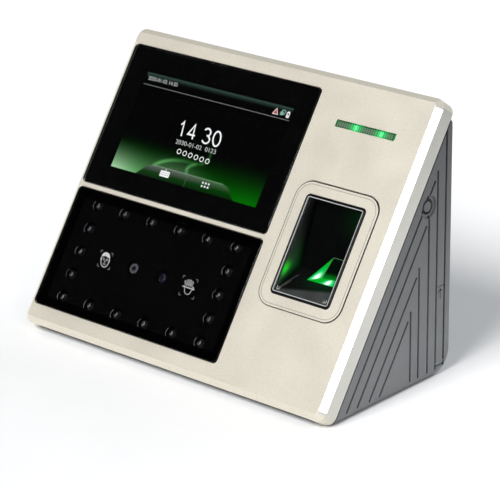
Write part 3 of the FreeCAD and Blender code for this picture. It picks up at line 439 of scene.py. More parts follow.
def level_shading(mesh):
    """Keep broad flat faces evenly lit beside their rounded edges."""
    helper = in_scene(bpy.data.objects.new("shading_helper", mesh))
    weighted = helper.modifiers.new("weighted", "WEIGHTED_NORMAL")
    weighted.keep_sharp = True
    weighted.weight = 100
    bpy.context.view_layer.update()
    shaded = bpy.data.meshes.new_from_object(helper.evaluated_get(bpy.context.evaluated_depsgraph_get()))
    bpy.data.objects.remove(helper)
    return shaded


def lit_grid(build, columns, rows, place, colour):
    """A sheet of points whose places and stored colours follow from their shares across and up."""
    layer = build.verts.layers.float_color.new("glow")
    grid = []
    for j in range(rows + 1):
        line = []
        for i in range(columns + 1):
            u, v = i / columns, j / rows
            vert = build.verts.new(place(u, v))
            vert[layer] = (*colour(u, v), 1.0)
            line.append(vert)
        grid.append(line)
    for low, high in zip(grid, grid[1:]):
        for i in range(columns):
            build.faces.new((low[i], low[i + 1], high[i + 1], high[i]))
    return grid, layer


# ---------------------------------------------------------------- CAD nodes
def dress_nodes():
    """Give every CAD node the finish of its material slot."""
    for row in frame["record"]["subparts"]:
        mesh = frame["nodes"][row["node"]].data
        mesh.materials.clear()
        mesh.materials.append(FINISH[row["material_slot"]])
        mesh.shade_smooth()
        mesh.set_sharp_from_angle(angle=math.radians(30))


# ---------------------------------------------------------------- face
def make_face():
    shell = softened("front_bezel", "bezel_shell", 0.22, "bezel_paint")
    paint_side_light_and_shade(shell)
    make_surround()
    # Painted shade: the shield, boards and camera modules behind the lower glass get a near-black finish.
    shaded_behind_glass = ("lamp_shield", "lamp_board", "camera_board", "colour_camera_module", "infrared_camera_module")
    for node in shaded_behind_glass:
        mesh = frame["nodes"][node].data
        mesh.materials.clear()
        mesh.materials.append(FINISH["shield_dark"])


def paint_side_light_and_shade(shell):
    """Give the bevels along both sides a brighter copy of the face's paint as a painted highlight, and the
    side walls a duller copy that carries painted shade.
    """
    shell.data.materials.append(FINISH["bezel_edge"])
    shell.data.materials.append(FINISH["bezel_side"])
    upright = FACE.to_3x3().normalized().inverted()
    for face in shell.data.polygons:
        x, y, z = upright @ face.normal
        # Side bevels get the painted highlight, side walls the painted shade.
        if 0.45 < abs(x) < 0.95 and abs(y) < 0.15 and z > 0.3:
            face.material_index = 1
        elif abs(x) > 0.97:
            face.material_index = 2


def make_surround():
    """Painted ring round the reader, with a rounded rim and a fine groove just inside it; a near-black band
    in the gap round the ring and a grey one in the groove are painted shade.
    """
    outer_width, outer_height, corner = 48.3, 61.3, 8.1
    sizes = ((0.0, -2.0), (0.0, -0.06), (0.02, -0.02), (0.06, 0.0), (0.95, 0.0), (1.00, -0.10),
             (1.24, -0.10), (1.30, 0.0))

    def outline(inset):
        return round_reader(outer_width - 2 * inset, outer_height - 2 * inset, corner - inset, 10)

    build = bmesh.new()
    rings = [at_height(outline(inset), z) for inset, z in sizes]
    rings += [at_height(round_reader(35.6, 49.8, 2.35, 10), z) for z in (0.0, -2.0)]
    skin(build, new_loops(build, rings), hoop=True)
    mesh = finish_mesh("fingerprint_surround_ring", build)
    mesh.transform(FACE)
    mesh.shade_smooth()
    mesh.set_sharp_from_angle(angle=math.radians(50))
    painted_highlight = add_piece("fingerprint_surround_ring", level_shading(mesh), "bezel_paint",
                     angle=None)
    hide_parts("fingerprint_surround")
    # Painted shade in the gap round the ring and in its groove.
    for name, finish, first, last, low, high in (("surround_gap_painted_shade", "seam_dark", -0.36, -0.02, -1.9, -0.12),
                                                 ("surround_groove_painted_shade", "line_grey", 1.02, 1.22, -0.098, -0.06)):
        build = bmesh.new()
        band(build, outline(first), outline(last), low, high)
        add_built(name, build, finish)


def make_glasses():
    """Both panes with ground edges and gaskets, and the black print behind them."""
    for node, name, middle, height, finish in (
            ("touch_panel", "touch_panel_glass", TOUCH_Y, TOUCH_HEIGHT, "touch_glass"),
            ("camera_window", "camera_window_glass", WINDOW_Y, WINDOW_HEIGHT, "dark_glass")):
        build = bmesh.new()
        edge = rounded(GLASS_X, middle, GLASS_WIDTH, height, 2.0)
        crown = rounded(GLASS_X, middle, GLASS_WIDTH - 0.5, height - 0.5, 1.75)
        loft(build, [at_height(crown, -GLASS_THICK), at_height(edge, -GLASS_THICK + 0.2),
                     at_height(edge, -0.22), at_height(crown, 0.0)])
        pane = add_built(name, build, finish, angle=20)
        pane.visible_shadow = False
        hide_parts(node)
        build = bmesh.new()
        band(build, rounded(GLASS_X, middle, GLASS_WIDTH + 0.38, height + 0.38, 2.19),
             rounded(GLASS_X, middle, GLASS_WIDTH + 0.02, height + 0.02, 2.01), -1.9, -0.06)
        add_built(f"{node}_gasket", build, "print_black")
    back = (-GLASS_THICK - 0.05, -GLASS_THICK - 0.01)

    def opening(gap, radius):
        return rounded(GLASS_X, WINDOW_Y, WINDOW_OPENING[0] - gap, WINDOW_OPENING[1] - gap, radius)

    for name, outer, inner, depths in (
            ("touch_panel_border", rounded(GLASS_X, TOUCH_Y, GLASS_WIDTH - 0.4, TOUCH_HEIGHT - 0.4, 1.8),
             rounded(PICTURE_X, PICTURE_Y, PICTURE_WIDTH + 0.3, PICTURE_HEIGHT + 0.3, 0.15), back),
            ("camera_window_border", rounded(GLASS_X, WINDOW_Y, GLASS_WIDTH - 0.4, WINDOW_HEIGHT - 0.4, 1.8),
             opening(1.6, 0.5), back),
            ("camera_window_liner", opening(0.04, 0.2), opening(0.4, 0.2), (-4.2, -2.15))):
        build = bmesh.new()
        band(build, outer, inner, *depths)
        add_built(name, build, "print_black")


def mix_colour(first, second, ratio):
    ratio = min(1.0, max(0.0, ratio))
    return tuple(a + (b - a) * ratio for a, b in zip(first, second))


def add_colour(base, extra, amount):
    return tuple(a + b * amount for a, b in zip(base, extra))


def smooth(low, high, value):
    t = min(1.0, max(0.0, (value - low) / (high - low)))
    return t * t * (3 - 2 * t)


def linear(colour):
    """Screen colours, given as 0-255 levels, turned into light."""
    return tuple((max(0.0, part) / 255) ** 2.2 for part in colour)


def bezier(points, t):
    """A point on the curve that a short list of points pulls along."""
    while len(points) > 1:
        points = [(a[0] + (b[0] - a[0]) * t, a[1] + (b[1] - a[1]) * t) for a, b in zip(points, points[1:])]
    return points[0]


def line_glow(u, v, points, width, level):
    """How strongly a soft curved line lights a spot; level gives its strength along it."""
    best = 0.0
    for i in range(31):
        x, y = bezier(points, i / 30)
        gap = math.hypot(u - x, (v - y) * PICTURE_HEIGHT / PICTURE_WIDTH)
        if gap < 4 * width:
            best = max(best, level(i / 30) * math.exp(-((gap / width) ** 2)))
    return best


SWEEP = [(0.27, 0.12), (0.35, 0.25), (0.53, 0.245)]
RISE = [(0.565, 0.44), (0.64, 0.36), (0.575, 0.26)]
HOOK = [(0.575, 0.26), (0.46, 0.21), (0.505, 0.12)]
TABS_LEFT, TABS_RIGHT, TABS_TOP = 0.178, 0.848, 0.128


def in_tabs(u, v):
    """Whether a spot is on the two tabs, whose sides lean in and whose upper corners are rounded."""
    inset = 0.50 * v + 0.032 * max(0.0, (v - 0.080) / (TABS_TOP - 0.080)) ** 2.2
    return v < TABS_TOP and TABS_LEFT + inset < u < TABS_RIGHT - inset


def screen_colour(u, v):
    """The home screen's picture: a green glow that fades upwards, pale at its left, under a strip."""
    if v > 0.875:
        lift = 62 * smooth(0.93, 1.0, v)
        return linear((lift * 0.82, lift * 1.13, lift))
    green = 108 * max(0.0, 1 - v / 0.42) ** 1.25
    ridge = smooth(0.0, 1.0, 1 - abs(u - 0.48) / 0.5)
    green = green * (1 - 0.25 * ridge) + 6 * ridge * smooth(0.42, 0.2, v)
    pale = 165 * max(0.0, 1 - v / 0.31) ** 1.15 * math.exp(-((u / 0.27) ** 1.6))
    middle = 48 * math.exp(-(((u - 0.45) / 0.18) ** 2) - (((v - 0.13) / 0.10) ** 2))
    grey = pale + middle
    tone = [grey, green + 0.62 * grey, grey]
    glow = 90 * line_glow(u, v, SWEEP, 0.010, lambda t: 0.35 + 0.65 * math.sin(math.pi * t ** 0.6))
    glow += 70 * line_glow(u, v, RISE, 0.009, lambda t: math.sin(math.pi * min(1.0, 0.15 + 0.7 * t)))
    glow += 80 * line_glow(u, v, HOOK, 0.010, lambda t: 0.4 + 0.6 * math.sin(math.pi * t))
    if in_tabs(u, v):
        if v > 0.062:
            sheen = 30 + 38 * smooth(0.05, TABS_TOP, v) + 34 * smooth(TABS_TOP - 0.012, TABS_TOP, v)
            tone = [0.35 * grey + sheen, 0.22 * green + sheen * 1.18 + 8, 0.35 * grey + sheen]
        else:
            tone = [12 + 0.15 * grey, 30 + 26 * v / 0.062 + 0.12 * green, 13 + 0.15 * grey]
        glow *= 0.3
    return linear((tone[0] + 0.6 * glow, tone[1] + glow, tone[2] + 0.6 * glow))


def make_picture():
    """A fine grid whose points hold the picture's colours."""
    build = bmesh.new()
    depth = -GLASS_THICK - 0.08
    lit_grid(build, 190, 104, lambda u, v: (*on_screen(u, v), depth), screen_colour)
    add_piece("screen_picture", as_mesh("screen_picture", build), "screen", place=FACE)


def lit_finish(name, colour, strength):
    """An evenly lit sign on the screen, or a line of painted light inside the reader, with a faint grain in
    its gloss.
    """
    made, nodes, links, shader = new_material(name)
    shader.inputs["Base Color"].default_value = (0.02, 0.02, 0.02, 1.0)
    links.new(spread(nodes, links, noise(nodes, links, 900.0), 0.25, 0.4), shader.inputs["Roughness"])
    shader.inputs["Emission Color"].default_value = (*colour, 1.0)
    shader.inputs["Emission Strength"].default_value = strength
    FINISH[name] = made


def on_screen(u, v):
    return (PICTURE_X + (u - 0.5) * PICTURE_WIDTH, PICTURE_Y + (v - 0.5) * PICTURE_HEIGHT)


def written(name, digits, size, stretch, u, v, finish, z):
    """Digits on the screen, centred on a spot, as a thin mesh."""
    curve = bpy.data.curves.new(name, "FONT")
    curve.body = digits
    curve.size = size
    curve.align_x = "CENTER"
    curve.offset = -0.006 * size
    shown = bpy.data.objects.new(f"{name}_text", curve)
    bpy.context.scene.collection.objects.link(shown)
    bpy.context.view_layer.update()
    mesh = bpy.data.meshes.new_from_object(shown.evaluated_get(bpy.context.evaluated_depsgraph_get()))
    bpy.data.objects.remove(shown)
    x, y = on_screen(u, v)
    slant = Matrix.Identity(4)
    slant[0][1] = DIGIT_SLANT
    mesh.transform(Matrix.Translation((x, y, z)) @ Matrix.Diagonal((stretch, 1.0, 1.0, 1.0)) @ slant)
    add_piece(name, mesh, finish, place=FACE)


DIGIT_SLANT = -0.16
DIGIT_HEIGHT, DIGIT_WIDTH, DIGIT_STEP = 7.3, 4.6, 6.5


def digit_strokes():
    """Plain thin digits one unit high and wide: each is a list of open or closed lines."""
    zero = arc(0.5, 0.5, 0.5, 0, 345, 23)
    three = (arc(0.48, 0.75, 0.42, 160, -75, 12, 0.6) + arc(0.46, 0.26, 0.50, 80, -155, 14, 0.54))
    return {"1": [([(0.12, 0.76), (0.34, 0.84), (0.50, 1.0), (0.50, 0.0)], False)],
            "4": [([(0.74, 0.0), (0.74, 1.0), (0.0, 0.27), (1.0, 0.27)], False)],
            "3": [(three, False)],
            "0": [(zero, True)]}


def make_clock(low, high):
    """The time, in four digits with a space between hours and minutes."""
    strokes = digit_strokes()
    left, foot = on_screen(0.339, 0.468)
    build = bmesh.new()
    for place, digit in ((0, "1"), (0.95, "4"), (2.45, "3"), (3.45, "0")):
        for points, closed in strokes[digit]:
            moved = []
            for px, py in points:
                y = py * DIGIT_HEIGHT
                moved.append((left + DIGIT_SLANT * y + px * DIGIT_WIDTH + place * DIGIT_STEP + 1.0,
                              foot + y - 0.02 * place * DIGIT_STEP))
            stroke(build, moved, 0.85, low, high, closed)
    add_built("clock_digits", build, "sign_white")


def make_screen_signs():
    """Clock and date digits, entry dots, status signs and the tabs' signs."""
    low, high = -GLASS_THICK - 0.07, -GLASS_THICK - 0.05
    lit_finish("sign_white", (1.0, 1.0, 1.0), 1.0)
    lit_finish("sign_dim", (0.75, 0.78, 0.75), 0.9)
    lit_finish("sign_line", (0.30, 0.31, 0.30), 0.6)
    lit_finish("sign_red", (0.65, 0.02, 0.02), 0.9)
    lit_finish("sign_teal", (0.30, 0.62, 0.52), 0.7)
    lit_finish("tab_light", (0.055, 0.10, 0.060), 0.9)
    make_clock(low, high)
    written("date_digits", "2030-01-02  0123", 3.2, 1.15, 0.495, 0.385, "sign_dim", high)
    written("status_digits", "2030-01-02 14:30", 2.75, 1.0, 0.122, 0.926, "sign_dim", high)
    build = bmesh.new()
    stroke(build, [on_screen(0.0, 0.876), on_screen(1.0, 0.876)], 0.28, low, high)
    add_built("screen_line", build, "sign_line")
    build = bmesh.new()
    for i in range(6):
        x, y = on_screen(0.400 + 0.040 * i, 0.318 - 0.004 * i)
        band(build, circle(x, y, 1.35, 20), circle(x, y, 0.95, 20), low, high)
    add_built("entry_dots", build, "sign_white")
    make_status_signs(low, high)
    make_tabs(low, high)


def make_status_signs(low, high):
    """A warning triangle, two stacked windows and a battery, at the status strip's right end."""
    build = bmesh.new()
    x, y = on_screen(0.899, 0.933)
    plate(build, [(x + 1.5, y - 1.25), (x, y + 1.45), (x - 1.5, y - 1.25)], low, high)
    add_built("sign_triangle", build, "sign_red")
    build = bmesh.new()
    x, y = on_screen(0.943, 0.935)
    stroke(build, rounded(x + 0.45, y + 0.4, 2.0, 1.9, 0.3, 2), 0.4, low, high, True)
    plate(build, rounded(x - 0.35, y - 0.35, 1.9, 1.8, 0.3, 2), low, high + 0.01)
    add_built("sign_windows", build, "sign_teal")
    build = bmesh.new()
    x, y = on_screen(0.980, 0.930)
    band(build, rounded(x, y - 0.2, 1.9, 2.8, 0.3, 2), rounded(x, y - 0.2, 1.1, 1.9, 0.2, 2), low, high)
    brick(build, x, y + 1.4, (low + high) / 2, 0.9, 0.4, high - low)
    brick(build, x, y - 0.5, (low + high) / 2, 0.7, 1.0, high - low)
    x, y = on_screen(0.899, 0.933)
    stroke(build, [(x + 1.6, y - 1.35), (x, y + 1.6), (x - 1.6, y - 1.35)], 0.25, low, high + 0.01, True)
    add_built("sign_battery", build, "sign_white")


def make_tabs(low, high):
    """The divider between the two tabs, a keypad sign and a menu sign."""
    build = bmesh.new()
    stroke(build, [on_screen(0.512, 0.0), on_screen(0.512, TABS_TOP)], 0.22, low, high - 0.005)
    add_built("screen_tab_divider", build, "tab_light")
    build = bmesh.new()
    x, y = on_screen(0.365, 0.068)
    plate(build, rounded(x, y, 6.0, 3.0, 0.3, 2), low, high)
    stroke(build, [(x, y + 1.5), (x, y + 2.6)], 0.4, low, high)
    x, y = on_screen(0.645, 0.072)
    for row in range(2):
        for column in range(3):
            brick(build, x - 1.9 + 1.9 * column, y + 0.85 - 1.7 * row, (low + high) / 2, 0.95, 0.9,
                  high - low)
    add_built("screen_tab_signs", build, "sign_white")
    build = bmesh.new()
    x, y = on_screen(0.365, 0.068)
    for row in range(2):
        for column in range(5):
            brick(build, x - 2.2 + 1.1 * column, y + 0.55 - 1.0 * row, high + 0.006, 0.45, 0.4, 0.01)
    add_built("keypad_sign_keys", build, "print_black")


# ---------------------------------------------------------------- behind the lower glass
def lamp_places():
    for column in range(6):
        for level in range(5):
            if column in (0, 5) or level in (0, 4):
                yield GLASS_X + (column - 2.5) * LAMP_PITCH[0], WINDOW_Y + (level - 2) * LAMP_PITCH[1]


def make_lamps():
    """Domed lamps seen faintly through the smoked glass, with painted highlights standing for the glints of
    each lamp's cup and die.
    """
    domes, painted_glints = bmesh.new(), bmesh.new()
    for x, y in lamp_places():
        profile = [(2.9, -7.5), (2.9, -6.7), (2.5, -6.6), (2.5, -4.9)]
        profile += [(2.5 * math.cos(a * math.pi / 16), -4.9 + 2.5 * math.sin(a * math.pi / 16))
                    for a in range(1, 8)]
        loft(domes, [at_height(circle(x, y, radius, 20), z) for radius, z in profile + [(0.15, -2.41)]])
        # Painted highlights: a faint arc at the left, a bright stroke and two dots on each lamp.
        stroke(painted_glints, arc(x - 0.4, y + 0.1, 2.5, 130, 235, 10), 0.16, -2.34, -2.32)
        glint = [(x + 0.55, y + 1.05), (x + 0.9, y + 0.5), (x + 0.45, y - 0.1), (x + 0.7, y - 0.9)]
        stroke(painted_glints, glint, 0.42, -2.34, -2.32)
        brick(painted_glints, x - 0.2, y - 0.55, -2.33, 0.35, 0.5, 0.02)
        brick(painted_glints, x + 1.15, y + 0.1, -2.33, 0.3, 0.6, 0.02)
    domes_piece = add_built("infrared_lamp_domes", domes, "lamp_epoxy")
    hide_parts("infrared_lamps")
    add_built("infrared_lamp_painted_glints", painted_glints, "print_bright")


def make_lenses():
    """Domed front lenses inside stepped barrels, each with painted light: a grey ring set to the right on the
    colour lens, leaving its left side dark, and a glint arc and dot on the infrared lens.
    """
    for side, node, name in ((-1, "colour_camera_lens", "colour_camera_front_lens"),
                             (1, "infrared_camera_lens", "infrared_camera_front_lens")):
        x = GLASS_X + side * LENS_X
        build = bmesh.new()
        rings = [at_height(circle(x, WINDOW_Y, 2.6, 32), -4.0)]
        rings += [at_height(circle(x, WINDOW_Y, 2.6 * math.cos(a * math.pi / 14) + 0.001, 32),
                            -3.9 + 0.9 * math.sin(a * math.pi / 14)) for a in range(7)]
        loft(build, rings)
        lens = add_built(name, build, "lens_glass")
        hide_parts(node)
        # Painted highlights on the lens.
        build = bmesh.new()
        if side < 0:
            band(build, circle(x + 0.6, WINDOW_Y, 2.5, 36), circle(x + 0.6, WINDOW_Y, 1.2, 36), -2.6, -2.5)
        else:
            stroke(build, arc(x + 0.5, WINDOW_Y, 1.4, -60, 80, 10), 0.35, -2.6, -2.5)
            brick(build, x - 0.5, WINDOW_Y - 1.3, -2.55, 0.5, 0.9, 0.1)
        add_built(f"{name}_ring", build, "lens_ring")


def brackets(build, x, y, half_width, half_height, arm, width, low, high):
    """Four corner marks round a sign."""
    for sx in (-1, 1):
        for sy in (-1, 1):
            cx, cy = x + sx * half_width, y + sy * half_height
            stroke(build, [(cx - sx * arm, cy), (cx, cy), (cx, cy - sy * arm)], width, low, high)


def make_face_sign(build, x, y, low, high):
    """A plain head: outline, a cap of hair, brows, eyes, nose and mouth."""
    jaw = arc(x, y - 0.3, 3.0, 200, 340, 14, 1.25)
    stroke(build, [(x - 2.9, y + 1.6)] + jaw + [(x + 2.9, y + 1.6)], 0.45, low, high)
    hair = arc(x, y + 1.6, 3.1, 0, 180, 14, 0.85) + [(x - 2.2, y + 1.5), (x - 0.6, y + 2.2),
                                                     (x + 1.0, y + 1.8), (x + 2.2, y + 1.5)]
    plate(build, hair, low, high)
    for side in (-1, 1):
        stroke(build, [(x + side * 1.9, y + 0.55), (x + side * 0.7, y + 0.65)], 0.35, low, high)
        brick(build, x + side * 1.2, y - 0.15, (low + high) / 2, 0.75, 0.45, high - low)
        stroke(build, [(x + side * 3.0, y + 0.7), (x + side * 3.5, y), (x + side * 3.0, y - 0.9)], 0.35,
               low, high)
    stroke(build, [(x + 0.1, y + 0.1), (x - 0.25, y - 1.3), (x + 0.35, y - 1.35)], 0.3, low, high)
    stroke(build, arc(x, y - 1.9, 1.1, 205, 335, 8, 0.6), 0.35, low, high)


def make_palm_sign(build, x, y, low, high):
    """An open hand with a scan line through it."""
    for offset, length, lean in ((-2.3, 2.6, -0.7), (-0.95, 3.6, -0.25), (0.45, 3.8, 0.15), (1.8, 3.2, 0.5)):
        base = (x + offset, y + 0.6)
        tip = (x + offset + lean, y + 0.6 + length)
        stroke(build, [(base[0] - 0.5, base[1]), (tip[0] - 0.45, tip[1] - 0.4), (tip[0], tip[1]),
                       (tip[0] + 0.45, tip[1] - 0.4), (base[0] + 0.5, base[1])], 0.3, low, high)
    palm = [(x + 2.6, y + 0.6), (x + 3.5, y + 0.9), (x + 3.9, y + 0.4), (x + 2.4, y - 1.7)]
    palm += arc(x, y - 2.0, 2.3, 0, -180, 10, 0.9) + [(x - 2.9, y + 0.5)]
    stroke(build, palm, 0.35, low, high)
    stroke(build, [(x - 4.6, y - 0.3), (x + 4.6, y - 0.3)], 0.5, low, high)


def make_face_prints():
    """Grey signs printed on the lower glass, face on the left and palm on the right, in fine brackets."""
    low, high = 0.005, 0.02
    for name, make, x, y, half, size in (("face_sign", make_face_sign, -58.0, WINDOW_Y - 0.4, 4.0, 0.88),
                                         ("palm_sign", make_palm_sign, -2.9, WINDOW_Y - 0.8, 4.7, 0.84)):
        lean = Matrix.Identity(4)
        lean[0][1] = DIGIT_SLANT
        place = FACE @ Matrix.Translation((x, y, 0)) @ lean
        build = bmesh.new()
        make(build, 0, 0, low, high)
        add_built(name, build, "print_grey", place=place @ Matrix.Diagonal((size, size, 1, 1)))
        build = bmesh.new()
        brackets(build, 0, 0, half, half, 1.3, 0.26, low, high)
        add_built(f"{name}_brackets", build, "print_faint", place=place)


# ---------------------------------------------------------------- status light
def make_status_light():
    """A ribbed clear bar that glows green at its two lamps."""
    width, height = 34.4, 3.0
    build = bmesh.new()
    columns, rows = 220, 8

    def place(u, v):
        rib = 0.12 * abs(math.sin(math.pi * u * 44))
        edge = min(u, 1 - u) * width < 0.5 or v in (0.0, 1.0)
        x, y = LIGHT_X + (u - 0.5) * width, LIGHT_Y + (v - 0.5) * height
        return (x, y, -0.30 if edge else -0.30 - rib)

    grid, layer = lit_grid(build, columns, rows, place, status_colour)
    rim = ([(column, 0) for column in range(columns)] + [(columns, row) for row in range(rows)]
           + [(column, rows) for column in range(columns, 0, -1)] + [(0, row) for row in range(rows, 0, -1)])
    upper = [grid[row][column] for column, row in rim]
    lower = []
    for vert in upper:
        copy = build.verts.new((vert.co.x, vert.co.y, -5.0))
        copy[layer] = vert[layer]
        lower.append(copy)
    for i in range(len(rim)):
        j = (i + 1) % len(rim)
        build.faces.new((lower[i], lower[j], upper[j], upper[i]))
    build.faces.new(list(reversed(lower)))
    bar = add_built("status_light_bar", build, "light_glow")
    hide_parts("status_light_pipe")


def status_colour(u, v):
    """Green that is hottest over each lamp, brighter towards the bar's long edges, grey between."""
    rib = 0.72 + 0.28 * math.cos(2 * math.pi * u * 26)
    rim = smooth(0.30, 0.5, abs(v - 0.5))
    tone = mix_colour((0.17, 0.27, 0.18), (0.010, 0.17, 0.035), rim)
    for lamp in (0.345, 0.78):
        across = (u - lamp) / 0.085
        tone = add_colour(mix_colour(tone, (0.0, 0.10, 0.02), math.exp(-across * across)), (0.0, 0.95, 0.20),
                          math.exp(-across * across) * (1 - 0.3 * rim))
        core = (u - lamp) / 0.028
        tone = add_colour(tone, (0.35, 0.6, 0.4), math.exp(-core * core) * (1 - rim))
    if min(u, 1 - u) < 0.02:
        tone = (0.02, 0.25, 0.06)
    return tuple(part * rib for part in tone)


# ---------------------------------------------------------------- fingerprint reader
SIGHT_X, SIGHT_Y = -0.81, 0.127  # how far a point shifts for each unit of depth, seen from the camera


def make_reader_frame():
    """Black frame: a rounded outer rim, a flat crown and a bevel down to the window."""
    sizes = [(35.4, 49.6, 2.3, -3.6), (35.4, 49.6, 2.3, 0.10), (35.1, 49.3, 2.2, 0.42),
             (34.6, 48.8, 1.9, 0.60), (33.3, 47.5, 1.3, 0.58), (33.0, 47.2, 1.1, 0.52),
             (32.9, 47.1, 1.0, 0.05), (32.2, 46.4, 0.6, 0.0), (32.2, 46.4, 0.6, -3.6)]
    build = bmesh.new()
    rings = [at_height(round_reader(w, h, r, 6), z) for w, h, r, z in sizes]
    skin(build, new_loops(build, rings), hoop=True)
    painted_highlight = add_built("reader_frame", build, "gloss_black", angle=50)
    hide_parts("fingerprint_frame")


def make_reader_window():
    """Flush clear window with a ground edge and marks at its two lower corners."""
    build = bmesh.new()
    edge = round_reader(32.1, 46.3, 0.4, 3)
    crown = round_reader(31.7, 45.9, 0.3, 3)
    loft(build, [at_height(edge, -1.3), at_height(edge, -0.45), at_height(crown, -0.30)])
    window = add_built("reader_window", build, "prism_glass", angle=20)
    window.visible_shadow = False
    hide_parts("fingerprint_prism")
    build = bmesh.new()
    band(build, round_reader(32.88, 47.08, 0.6, 3),
         round_reader(32.2, 46.4, 0.4, 3), -0.25, 0.50)
    add_built("reader_window_rim", build, "print_grey")
    build = bmesh.new()
    for side in (-1, 1):
        x, y = READER_X + side * 14.7 - 0.6, READER_Y - 21.9
        stroke(build, [(x - side * 1.9, y), (x, y), (x, y + 1.5)], 0.3, -1.42, -1.36)
        stroke(build, [(x - side * 1.8, y + 0.8), (x - side * 0.8, y + 0.8)], 0.25, -1.42, -1.36)
    add_built("reader_window_marks", build, "line_grey")


def lit_sheet(name, corners, colour, columns=24, rows=24):
    """A four-cornered facet whose points hold painted light, a glowing colour worked out from its own
    coordinates.
    """
    build = bmesh.new()
    a, b, c, d = (Vector(corner) for corner in corners)

    def place(u, v):
        spot = (a * (1 - u) + b * u) * (1 - v) + (d * (1 - u) + c * u) * v
        return (READER_X + spot.x, READER_Y + spot.y, spot.z)

    lit_grid(build, columns, rows, place, colour)
    return add_piece(name, as_mesh(name, build), "reader_glow", place=FACE)


def spot(u, v, cu, cv, ru, rv):
    return math.exp(-(((u - cu) / ru) ** 2 + ((v - cv) / rv) ** 2))


def make_reader_well():
    """Inside of the reader: side walls, a slanting back, and a facet, with the green light that the facet
    throws up and the shade round it painted on them as glow.
    """
    half, top, bottom, knee = 15.95, 23.05, -23.05, -7.5
    front, back_top, back_low = -1.35, -7.7, -14.0
    build = bmesh.new()
    for width, height, low, high in ((35.4, 49.6, -22.0, -5.6), (42.0, 60.0, -5.6, -3.6)):
        band(build, round_reader(width, height, 1.0), round_reader(32.1, 46.3, 0.4),
             low, high)
    plate(build, round_reader(35.4, 49.6, 1.0), -24.0, -22.0)
    body = add_built("reader_well_body", build, "black_plastic")
    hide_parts("fingerprint_well")

    # Painted light: green glow and grey on the left wall, near-black painted shade on the back, roof and
    # right wall, and a pale painted fan of light on the facet.
    def wall_painted_light(u, v):
        grey = 0.020 * smooth(0.9, 0.0, u) * (0.35 + 0.65 * math.sin(math.pi * min(1.0, 0.2 + v)))
        tone = add_colour((grey, grey * 1.06, grey), (0.0, 0.62, 0.004), spot(u, v, 0.19, 0.24, 0.19, 0.065))
        return add_colour(tone, (0.0, 0.035, 0.004), spot(u, v, 0.45, 0.30, 0.35, 0.22))

    def back_painted_light(u, v):
        return add_colour((0.0012, 0.0014, 0.0014), (0.0, 0.012, 0.002), spot(u, v, 0.9, 0.9, 0.3, 0.3))

    def facet_painted_light(u, v):
        fan = smooth(-0.05, 0.10, 0.46 * u + 0.10 - v)
        grey = 0.058 * fan * (0.88 + 0.12 * math.cos(15 * u + 6 * v)) + 0.003
        return add_colour((grey, grey * 1.08, grey * 1.06), (0.0, 0.016, 0.004),
                          spot(u, v, 0.62, 0.62, 0.3, 0.25))

    for side, name in ((-1, "left"), (1, "right")):
        x = side * half
        lit_sheet(f"reader_well_{name}_wall", [(x, knee, front), (x, knee, back_low), (x, top, back_top),
                                               (x, top, front)],
                  (lambda u, v: wall_painted_light(u, 0.33 + 0.67 * v)) if side < 0 else back_painted_light)
        lit_sheet(f"reader_well_{name}_wedge", [(x, bottom, front), (x, bottom + 0.01, front - 0.01),
                                                (x, knee, back_low), (x, knee, front)],
                  (lambda u, v: wall_painted_light(u, 0.33 * v)) if side < 0 else back_painted_light)
    back = lit_sheet("reader_well_back", [(-half, knee, back_low), (half, knee, back_low),
                                          (half, top, back_top), (-half, top, back_top)], back_painted_light)
    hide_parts("fingerprint_mirror")
    lit_sheet("reader_well_roof", [(-half, top, front), (half, top, front), (half, top, back_top),
                                   (-half, top, back_top)], back_painted_light, 8, 8)
    lit_sheet("reader_well_facet", [(-half, bottom, front), (half, bottom, front), (half, knee, back_low),
                                    (-half, knee, back_low)], facet_painted_light)
    make_reader_painted_reflections()


